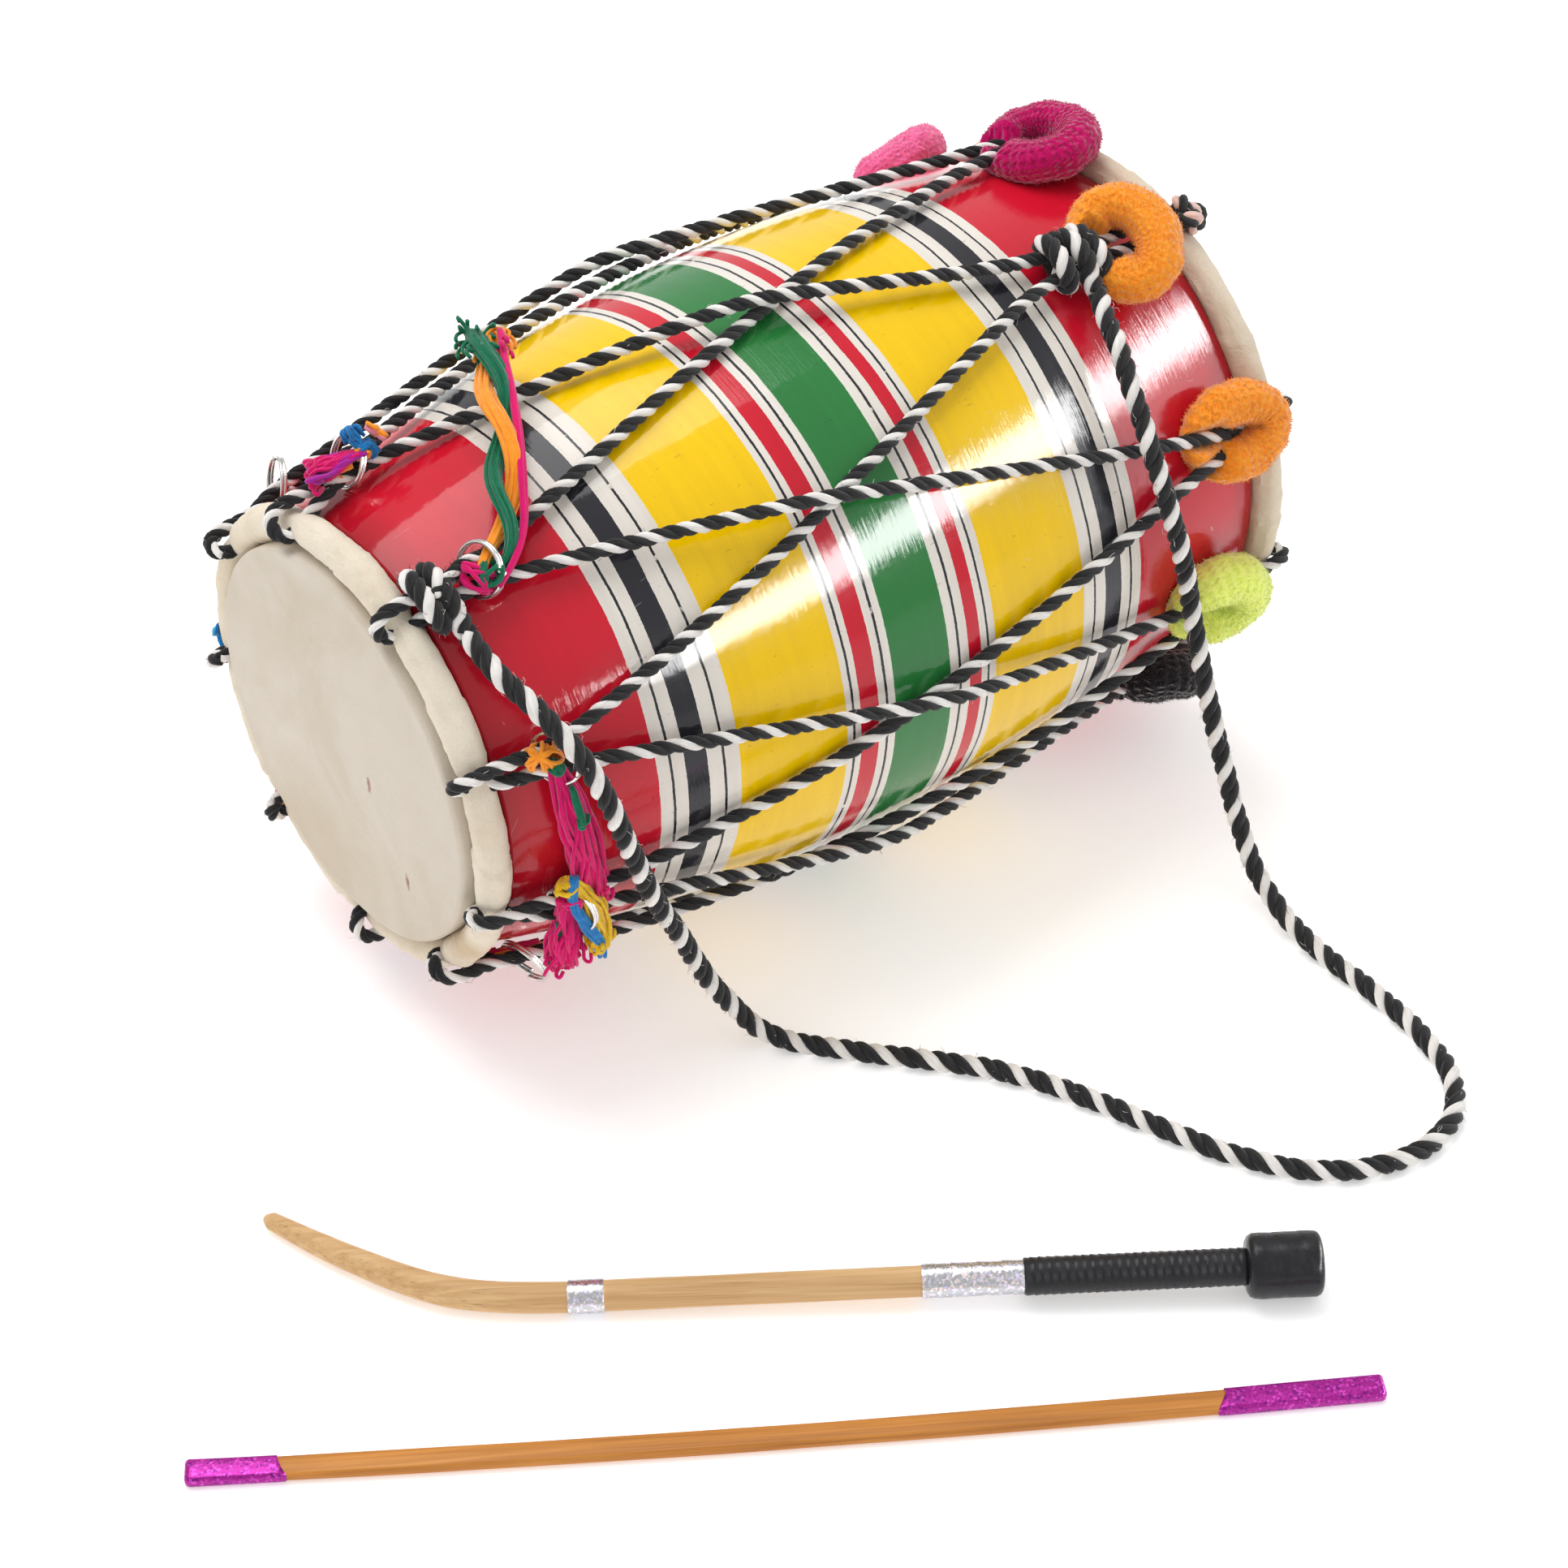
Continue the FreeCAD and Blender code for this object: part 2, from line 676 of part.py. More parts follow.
def flat_bar(points, wide, thick):
    """A bar of rounded rectangular section along a line."""
    wire = cord_wire(points)[0] if len(points) > 2 else Part.Wire([Part.LineSegment(*points).toShape()])
    way = (points[1] - points[0]).normalize()
    across = way.cross(V(0, 0, 1)).normalize()
    up = V(0, 0, 1)
    corners = []
    for s, t in ((-1, -1), (1, -1), (1, 1), (-1, 1), (-1, -1)):
        corners.append(points[0] + across * (s * wide / 2) + up * (t * thick / 2))
    section = Part.makePolygon(corners)
    return wire.makePipeShell([section], True, False)


def tilli_cane(floor):
    return flat_bar(tilli_line(floor), tilli_wide, tilli_thick)


def tilli_wraps(floor):
    """The foil round both ends of the cane."""
    line = tilli_line(floor)
    wraps = []
    for end, inner, length in ((line[0], line[1], tilli_wrap_start), (line[-1], line[-2], tilli_wrap_end)):
        way = (inner - end).normalize()
        run = [end, end + way * length]
        hole = flat_bar(run, tilli_wide + 2 * fit_gap, tilli_thick + 2 * fit_gap)
        thick = 2 * fit_gap + 2 * tilli_foil_t
        wraps.append(flat_bar(run, tilli_wide + thick, tilli_thick + thick).cut(hole))
    return Part.makeCompound(wraps)


def build():
    """Every piece by its name."""
    floor = floor_z()
    nodes = {
        "shell": shell(),
        "near_head_skin": skin(near_face_x, near_hoop_r, -1),
        "far_head_skin": skin(far_face_x, far_hoop_r, 1),
        "near_hoop": hoop(near_hoop_x, near_hoop_r, -1, [near_deg(k) for k in range(lace_count)]),
        "far_hoop": hoop(far_hoop_x, far_hoop_r, 1, [far_deg(k) for k in range(lace_count)]),
        "strap": strap(floor),
        "strap_knot_near": knot(near_knot_frame(), 1),
        "strap_knot_far": knot(far_knot_frame(), 2),
        "lacing_stopper_knot": stopper_knot(),
        "dagga_shaft": dagga_shaft(floor),
        "dagga_silver_band": sleeve(floor, band_start, band_len, dagga_r + fit_gap, foil_t),
        "dagga_silver_foil": sleeve(floor, foil_start, foil_len, dagga_r + fit_gap, foil_t),
        "dagga_grip_wrap": sleeve(floor, knob_len, grip_len, dagga_r + fit_gap, grip_t),
        "dagga_knob": dagga_knob(floor),
        "tilli_cane": tilli_cane(floor),
        "tilli_foil_wraps": tilli_wraps(floor),
    }
    for k in range(lace_count):
        name = str(k + 1)
        nodes["lacing_" + name] = lacing(k)
        nodes["tuning_ring_" + name] = tuning_ring(k)
        nodes["tassel_" + name] = thrown_tassel() if k == 0 else hanging_tassel(k)
        nodes["pompom_" + name] = pompom(k, floor)
    return nodes


def place(nodes):
    """Put the middle of the part's foot at the origin. The strap is a cord, so it doesn't count."""
    box = FreeCAD.BoundBox()
    for name, solid in nodes.items():
        if name != "strap":
            box.add(solid.optimalBoundingBox(False))
    shift = V(-box.Center.x, -box.Center.y, -box.ZMin)
    print("shift", [round(v, 3) for v in shift])
    print("size", round(box.XLength, 1), round(box.YLength, 1), round(box.ZLength, 1))
    for solid in nodes.values():
        solid.translate(shift)


nodes = build()
place(nodes)
for name, solid in nodes.items():
    for piece in solid.Solids:
        if not piece.isValid() or not piece.isClosed():
            print("not sound:", name)
    solid.exportStep("parts/" + name + ".step")
print(len(nodes), "nodes")
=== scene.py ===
"""A rope-laced dhol on its side, with its shoulder rope and its two sticks."""

import logging
import math
from collections.abc import Sequence
from dataclasses import dataclass, field
from enum import Enum

import bpy
import numpy as np
from mathutils import Matrix, Quaternion, Vector, noise


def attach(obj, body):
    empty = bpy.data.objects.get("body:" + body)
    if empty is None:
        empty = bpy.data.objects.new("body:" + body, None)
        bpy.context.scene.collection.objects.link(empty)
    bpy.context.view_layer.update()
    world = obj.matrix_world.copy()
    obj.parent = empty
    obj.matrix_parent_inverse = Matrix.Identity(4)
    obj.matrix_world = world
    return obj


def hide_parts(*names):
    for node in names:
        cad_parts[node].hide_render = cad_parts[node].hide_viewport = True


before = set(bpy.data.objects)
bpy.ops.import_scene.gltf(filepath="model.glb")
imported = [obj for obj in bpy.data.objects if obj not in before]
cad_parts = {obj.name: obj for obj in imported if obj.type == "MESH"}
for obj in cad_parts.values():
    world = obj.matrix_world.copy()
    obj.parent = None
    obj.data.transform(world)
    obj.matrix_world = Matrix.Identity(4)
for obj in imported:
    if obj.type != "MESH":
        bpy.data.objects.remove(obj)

LOG = logging.getLogger("dhol")
MM = 0.001
# where the middle of the green band's axis lies in the frame, in millimetres
MIDDLE = np.array((81.978, 129.374, 123.816))
# the floor's height from there
FLOOR = -float(MIDDLE[2])
LACES = 9
FULL_TURN = math.tau

Point = tuple[float, float, float]
Colour = tuple[float, float, float]


def deselect() -> None:
    """Leaves object mode and clears the selection."""
    if bpy.context.object and bpy.context.object.mode != "OBJECT":
        bpy.ops.object.mode_set(mode="OBJECT")
    bpy.ops.object.select_all(action="DESELECT")


def chosen(piece: bpy.types.Object) -> None:
    """Makes a piece the only selected one, and the active one."""
    deselect()
    piece.select_set(True)
    bpy.context.view_layer.objects.active = piece


def stand_in(piece: bpy.types.Object, node: str, body: str) -> bpy.types.Object:
    """Lets a finished piece stand for a CAD node, on its body."""
    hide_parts(node)
    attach(piece, body)
    return piece


def framed(points: np.ndarray) -> np.ndarray:
    """Turns points of the drum's own lines, in millimetres, into the frame's metres.

    Args:
        points: one point or rows of points.

    Returns:
        The same points in the frame.
    """
    return (np.asarray(points, float) + MIDDLE) * MM


def unit(v: np.ndarray) -> np.ndarray:
    """Scales a vector to length one."""
    return v / np.linalg.norm(v)


def units(rows: np.ndarray) -> np.ndarray:
    """Scales each of many vectors to length one."""
    return rows / np.linalg.norm(rows, axis=-1)[..., None]


def smooth_by_angle(piece: bpy.types.Object, degrees: float) -> None:
    """Shades a piece smooth but keeps edges sharper than the angle."""
    chosen(piece)
    bpy.ops.object.shade_smooth_by_angle(angle=math.radians(degrees))


def lathe(name: str, profile: list[tuple[float, float]], steps: int, closed: bool) -> bpy.types.Object:
    """Spins a profile round the drum's axis.

    Args:
        name: the piece's name.
        profile: stations and radii in the drum's millimetres, in order.
        steps: how many steps the turn takes.
        closed: whether the last point joins the first.

    Returns:
        The turned piece with its normals outwards.
    """
    mesh = bpy.data.meshes.new(name)
    points = [tuple(framed((x, 0.0, r))) for x, r in profile]
    edges = [(i, i + 1) for i in range(len(points) - 1)]
    if closed:
        edges.append((len(points) - 1, 0))
    mesh.from_pydata(points, edges, [])
    piece = bpy.data.objects.new(name, mesh)
    bpy.context.collection.objects.link(piece)
    chosen(piece)
    bpy.ops.object.mode_set(mode="EDIT")
    bpy.ops.mesh.select_all(action="SELECT")
    bpy.ops.mesh.spin(steps=steps, angle=FULL_TURN, center=tuple(framed((0, 0, 0))), axis=(1, 0, 0))
    bpy.ops.mesh.select_all(action="SELECT")
    bpy.ops.mesh.remove_doubles(threshold=2e-5)
    bpy.ops.mesh.normals_make_consistent(inside=False)
    bpy.ops.object.mode_set(mode="OBJECT")
    return piece


@dataclass(frozen=True)
class Local:
    """Directions at a place on the drum: along it, round it and outwards."""

    at: np.ndarray
    along: np.ndarray
    round: np.ndarray
    out: np.ndarray

    def point(self, along: float, sideways: float, out: float) -> np.ndarray:
        """Gives the point that lies so far along, round and outwards."""
        return self.at + self.along * along + self.round * sideways + self.out * out


@dataclass(frozen=True)
class Lines:
    """The drum's own measures in millimetres, from the middle of the green band."""

    belly_x: float = 32.4
    belly_r: float = 117.1
    near_end_x: float = -167.0
    near_end_r: float = 87.9
    far_end_x: float = 179.0
    far_end_r: float = 104.5
    near_face_x: float = -183.0
    far_face_x: float = 194.8
    hoop_roll_r: float = 6.7
    near_hoop_x: float = -174.0
    near_hoop_r: float = 86.3
    far_hoop_x: float = 185.7
    far_hoop_r: float = 104.7
    lace_r: float = 3.1
    lace_gap: float = 0.4
    first_deg: float = 20.0
    spread: float = 3.7
    rise: float = 7.5
    hook_run: float = 11.0
    pair_near_x: float = -147.0
    pair_far_x: float = 152.0
    far_gather_x: float = 111.0
    first_ring_ahead: float = 4.5
    near_drift: tuple[float, ...] = (0.15, 0.15, 0.12, 0.02, 0.0, 0.0, 0.03, 0.05, 0.05)
    far_drift: tuple[float, ...] = (0.06, 0.17, 0.10, 0.03, 0.0, 0.0, 0.03, 0.05, 0.12)

    def shell_r(self, x: float) -> float:
        """Gives the barrel's outer radius at a station."""
        near = x < self.belly_x
        span = abs((self.near_end_x if near else self.far_end_x) - self.belly_x)
        fall = self.belly_r - (self.near_end_r if near else self.far_end_r)
        radius = (span * span + fall * fall) / (2 * fall)
        part = abs(x - self.belly_x)
        return self.belly_r - radius + math.sqrt(radius * radius - part * part)

    def turn(self, x: float, r: float, deg: float) -> np.ndarray:
        """Gives the point at a station, a radius and an angle from the top."""
        a = math.radians(deg)
        return np.array((x, -r * math.sin(a), r * math.cos(a)))

    def side(self, x: float, r: float, deg: float, sideways: float) -> np.ndarray:
        """Gives such a point moved round the drum by a length."""
        return self.turn(x, r, deg + math.degrees(sideways / r))

    def near_deg(self, k: int) -> float:
        """Gives the angle of near lacing point k."""
        return self.first_deg + 360.0 / LACES * (k + self.near_drift[k % LACES])

    def far_deg(self, k: int) -> float:
        """Gives the angle of far lacing point k."""
        return self.first_deg + 360.0 / LACES * (k + self.far_drift[k % LACES])

    def near_pair_x(self, k: int) -> float:
        """Gives the station where the near pair k parts."""
        return self.pair_near_x + (self.first_ring_ahead if k % LACES == 0 else 0.0)

    def far_pair_x(self, k: int) -> float:
        """Gives the station where the far pair k parts."""
        return self.far_gather_x if k % LACES == 0 else self.pair_far_x

    def local(self, x: float, deg: float) -> Local:
        """Gives the directions at the height of the rope pairs."""
        back = x - self.hoop_roll_r
        at = self.turn(x, self.shell_r(x) + self.rise, deg)
        along = unit(at - self.turn(back, self.shell_r(back) + self.rise, deg))
        a = math.radians(deg)
        around = np.array((0.0, -math.cos(a), -math.sin(a)))
        out = unit(np.cross(around, along))
        if np.dot(out, self.turn(0, 1, deg)) < 0:
            out = -out
        return Local(at, along, around, out)


LINES = Lines()


@dataclass
class Route:
    """The route of one smooth cord, kept as the control points of a spline."""

    points: Sequence[Point | np.ndarray]

    def line(self, detail: int = 14) -> np.ndarray:
        """Reads the smooth line through the frame.

        Args:
            detail: how many steps each span of the spline gets.

        Returns:
            Rows of points in metres.
        """
        curve = bpy.data.curves.new("route", "CURVE")
        curve.dimensions = "3D"
        spline = curve.splines.new("NURBS")
        spline.points.add(len(self.points) - 1)
        for knot, p in zip(spline.points, self.points):
            knot.co = (*framed(p), 1.0)
        spline.order_u = 3
        spline.use_endpoint_u = True
        spline.resolution_u = detail
        carrier = bpy.data.objects.new("route", curve)
        bpy.context.collection.objects.link(carrier)
        bpy.context.view_layer.update()
        mesh = bpy.data.meshes.new_from_object(carrier)
        points = np.array([v.co[:] for v in mesh.vertices])
        bpy.data.objects.remove(carrier)
        bpy.data.curves.remove(curve)
        bpy.data.meshes.remove(mesh)
        return points


def resampled(line: np.ndarray, step: float) -> np.ndarray:
    """Spaces a line's points evenly."""
    lengths = np.concatenate(([0.0], np.cumsum(np.linalg.norm(np.diff(line, axis=0), axis=1))))
    count = max(2, int(round(lengths[-1] / step)) + 1)
    at = np.linspace(0.0, lengths[-1], count)
    return np.stack([np.interp(at, lengths, line[:, i]) for i in range(3)], axis=1)


def own_line(points: Sequence[Point | np.ndarray], step: float, detail: int = 14) -> np.ndarray:
    """Gives a route's evenly spaced line in the drum's own millimetres."""
    return resampled(Route(points).line(detail), step * MM) / MM - MIDDLE


def carried(line: np.ndarray) -> tuple[np.ndarray, np.ndarray, np.ndarray]:
    """Carries a pair of side directions along a line without twisting them.

    Args:
        line: rows of points.

    Returns:
        Rows of tangents, of first sides and of second sides.
    """
    tangents = units(np.gradient(line, axis=0))
    up = np.array((0.0, 0.0, 1.0)) if abs(tangents[0][2]) < 0.9 else np.array((0.0, 1.0, 0.0))
    sides = np.empty_like(line)
    side = unit(np.cross(tangents[0], up))
    for i, t in enumerate(tangents):
        side = unit(side - t * np.dot(side, t))
        sides[i] = side
    return tangents, sides, np.cross(tangents, sides)


@dataclass
class Skein:
    """Collects tubes of yarn, strand or hair into one mesh."""

    verts: list[np.ndarray] = field(default_factory=list)
    faces: list[list[int]] = field(default_factory=list)
    uvs: list[np.ndarray] = field(default_factory=list)
    slots: list[int] = field(default_factory=list)
    count: int = 0

    def tube(self, line: np.ndarray, radius: float | np.ndarray, sides: int, slot: int = 0,
             flat: float = 1.0) -> None:
        """Adds a capped tube along a line.

        Args:
            line: rows of points.
            radius: one radius, or one for each point.
            sides: how many sides it has.
            slot: the material slot.
            flat: how much thinner it is along its second side.
        """
        n = len(line)
        radii = np.broadcast_to(np.asarray(radius, float), (n,))
        _, first, second = carried(line)
        turn = np.arange(sides) * FULL_TURN / sides
        ring = (first[:, None] * np.cos(turn)[None, :, None]
                + second[:, None] * (np.sin(turn) * flat)[None, :, None])
        self.verts.append((line[:, None] + ring * radii[:, None, None]).reshape(-1, 3))
        self.verts.append(line[[0, -1]])
        along = np.concatenate(([0.0], np.cumsum(np.linalg.norm(np.diff(line, axis=0), axis=1))))
        i, j = np.meshgrid(np.arange(n - 1), np.arange(sides), indexing="ij")
        a = i * sides + j
        b = i * sides + (j + 1) % sides
        quads = np.stack([a, b, b + sides, a + sides], axis=-1).reshape(-1, 4) + self.count
        u0 = j / sides * FULL_TURN * radii[i]
        u1 = (j + 1) / sides * FULL_TURN * radii[i]
        corners = [np.stack(corner, axis=-1) for corner in (
            (u0, along[i]), (u1, along[i]), (u1, along[i + 1]), (u0, along[i + 1]))]
        self.faces.extend(quads.tolist())
        self.uvs.append(np.stack(corners, axis=-2).reshape(-1, 2))
        j = np.arange(sides)
        k = (j + 1) % sides
        start = np.stack([k, j, np.full(sides, n * sides)], axis=-1)
        end = np.stack([j, k, np.full(sides, n * sides + 1 - (n - 1) * sides)], axis=-1) + (n - 1) * sides
        self.faces.extend((np.concatenate([start, end]) + self.count).tolist())
        self.uvs.append(np.zeros((sides * 6, 2)))
        self.slots.extend([slot] * ((n - 1) * sides + 2 * sides))
        self.count += n * sides + 2

    def hairs(self, root: np.ndarray, bend: np.ndarray, tip: np.ndarray, radius: float) -> None:
        """Adds many fine hairs at once, each from its root over its bend to its tip."""
        way = units(tip - root)
        side = units(np.cross(way, (0.31, 0.53, 0.79)))
        other = np.cross(way, side)
        spots = []
        for centre, share in ((root, 1.0), (bend, 0.75)):
            for j in range(3):
                a = FULL_TURN * j / 3
                spots.append(centre + (side * math.cos(a) + other * math.sin(a)) * radius * share)
        spots.append(tip)
        self.verts.append(np.stack(spots, axis=1).reshape(-1, 3))
        base = self.count + 7 * np.arange(len(root))[:, None]
        for j in range(3):
            k = (j + 1) % 3
            self.faces.extend((base + (j, k, k + 3, j + 3)).tolist())
            self.faces.extend((base + (j + 3, k + 3, 6)).tolist())
        self.uvs.append(np.zeros((len(root) * 21, 2)))
        self.slots.extend([0] * (6 * len(root)))
        self.count += 7 * len(root)

    def piece(self, name: str, materials: list[bpy.types.Material]) -> bpy.types.Object:
        """Makes the object out of what was collected.

        Args:
            name: the piece's name.
            materials: one for each slot.

        Returns:
            The linked object.
        """
        mesh = bpy.data.meshes.new(name)
        mesh.from_pydata(np.concatenate(self.verts).tolist(), [], self.faces)
        layer = mesh.uv_layers.new(name="UVMap")
        layer.data.foreach_set("uv", np.concatenate(self.uvs).ravel())
        mesh.polygons.foreach_set("material_index", self.slots)
        mesh.polygons.foreach_set("use_smooth", [True] * len(self.faces))
        for material in materials:
            mesh.materials.append(material)
        mesh.update()
        piece = bpy.data.objects.new(name, mesh)
        bpy.context.collection.objects.link(piece)
        return piece


@dataclass(frozen=True)
class Twist:
    """How a rope is laid: two black strands and a white one, right-handed."""

    radius: float
    pitch: float
    sides: int = 10
    steps: int = 12
    seat: float = 0.50
    strand: float = 0.52

    def add(self, skein: Skein, line: np.ndarray, first_slot: int = 0, phase: float = 0.0,
            swell: float = 0.0) -> None:
        """Lays three strands along a line.

        Args:
            skein: the mesh that they go into.
            line: the rope's middle line.
            first_slot: the slot of the black strands. The white one has the next.
            phase: where the turn starts, in turns.
            swell: how much the lay tightens and loosens along the rope.
        """
        fine = resampled(line, self.pitch / self.steps)
        _, first, second = carried(fine)
        at = np.arange(len(fine)) / self.steps
        angle = FULL_TURN * (at + phase) + swell * np.sin(at * 0.9)
        for strand in range(3):
            a = angle + strand * FULL_TURN / 3
            wobble = 1 + 0.05 * np.sin(at * 2.3 + strand * 2.1) + 0.03 * np.sin(at * 5.9 + strand)
            reach = self.radius * self.seat
            spot = fine + (first * np.cos(a)[:, None] + second * np.sin(a)[:, None]) * reach
            slot = first_slot + (1 if strand == 2 else 0)
            skein.tube(spot, self.radius * self.strand * wobble, self.sides, slot)


class Shader:
    """One node material, with short ways to add and join its nodes."""

    def __init__(self, name: str) -> None:
        """Starts a material with its surface shader."""
        self.material = bpy.data.materials.new(name)
        self.material.use_nodes = True
        self.tree = self.material.node_tree
        self.surface = self.tree.nodes["Principled BSDF"]
        self._where: bpy.types.NodeSocket | None = None

    def node(self, kind: str, values: dict[str | int, object] | None = None,
             **settings: object) -> bpy.types.Node:
        """Adds a node.

        Args:
            kind: its Blender type.
            values: sockets to fill or join, by name or number.
            settings: the node's own properties.

        Returns:
            The node.
        """
        made = self.tree.nodes.new(kind)
        for key, value in settings.items():
            setattr(made, key, value)
        for key, value in (values or {}).items():
            self.put(made.inputs[key], value)
        return made

    def put(self, socket: bpy.types.NodeSocket, value: object) -> None:
        """Fills a socket with a value or joins it to an output."""
        if isinstance(value, bpy.types.NodeSocket):
            self.tree.links.new(value, socket)
        else:
            socket.default_value = value

    def where(self) -> bpy.types.NodeSocket:
        """Gives the place on the object, in the frame."""
        if self._where is None:
            self._where = self.node("ShaderNodeTexCoord").outputs["Object"]
        return self._where

    def along(self) -> bpy.types.NodeSocket:
        """Gives the place on the unrolled surface, round and along, in metres."""
        return self.node("ShaderNodeUVMap", uv_map="UVMap").outputs[0]

    def mapped(self, location: Point = (0, 0, 0), rotation: Point = (0, 0, 0), scale: Point = (1, 1, 1),
               source: bpy.types.NodeSocket | None = None) -> bpy.types.NodeSocket:
        """Gives moved, turned and stretched coordinates, of the place on the object if no other is named."""
        return self.node("ShaderNodeMapping", {"Vector": source or self.where(), "Location": location,
                                               "Rotation": rotation, "Scale": scale}).outputs[0]

    def distance(self, vector: bpy.types.NodeSocket) -> bpy.types.NodeSocket:
        """Gives a vector's length."""
        return self.node("ShaderNodeVectorMath", {0: vector}, operation="LENGTH").outputs["Value"]

    def darker(self, share: object, colour: bpy.types.NodeSocket, tint: Colour) -> bpy.types.NodeSocket:
        """Gives a colour that is multiplied by a tint, in part."""
        return self.blend(share, colour, self.blend(1.0, colour, tint, "MULTIPLY"))

    def noise(self, vector: bpy.types.NodeSocket, scale: float, detail: float = 2.0, rough: float = 0.5,
              distortion: float = 0.0) -> bpy.types.NodeSocket:
        """Gives a soft random value."""
        return self.node("ShaderNodeTexNoise", {"Vector": vector, "Scale": scale, "Detail": detail,
                                                "Roughness": rough, "Distortion": distortion}).outputs[0]

    def math(self, operation: str, a: object, b: object = 0.0, c: object = 0.0) -> bpy.types.NodeSocket:
        """Gives the result of one sum."""
        return self.node("ShaderNodeMath", {0: a, 1: b, 2: c}, operation=operation).outputs[0]

    def grey(self, value: bpy.types.NodeSocket, low: float, high: float, a: float = 0.0,
             b: float = 1.0) -> bpy.types.NodeSocket:
        """Gives a value spread from low and high to a and b, held at both ends."""
        return self.node("ShaderNodeMapRange", {0: value, 1: low, 2: high, 3: a, 4: b}).outputs[0]

    def blend(self, share: object, a: object, b: object, kind: str = "MIX") -> bpy.types.NodeSocket:
        """Gives a mixed colour."""
        made = self.node("ShaderNodeMix", data_type="RGBA", blend_type=kind)
        self.put(made.inputs[0], share)
        self.put(made.inputs[6], (*a, 1.0) if isinstance(a, tuple) else a)
        self.put(made.inputs[7], (*b, 1.0) if isinstance(b, tuple) else b)
        return made.outputs[2]

    def bump(self, height: bpy.types.NodeSocket, strength: float, depth: float,
             under: bpy.types.NodeSocket | None = None) -> bpy.types.NodeSocket:
        """Gives a normal that rises with a value, on top of another one."""
        made = self.node("ShaderNodeBump", {"Height": height, "Strength": strength, "Distance": depth})
        if under is not None:
            self.put(made.inputs["Normal"], under)
        return made.outputs[0]

    def done(self, **sockets: object) -> bpy.types.Material:
        """Fills the surface shader's sockets, with spaces written as underscores.

        Args:
            sockets: values or outputs by socket name.

        Returns:
            The material.
        """
        for name, value in sockets.items():
            self.put(self.surface.inputs[name.replace("_", " ")], value)
        return self.material


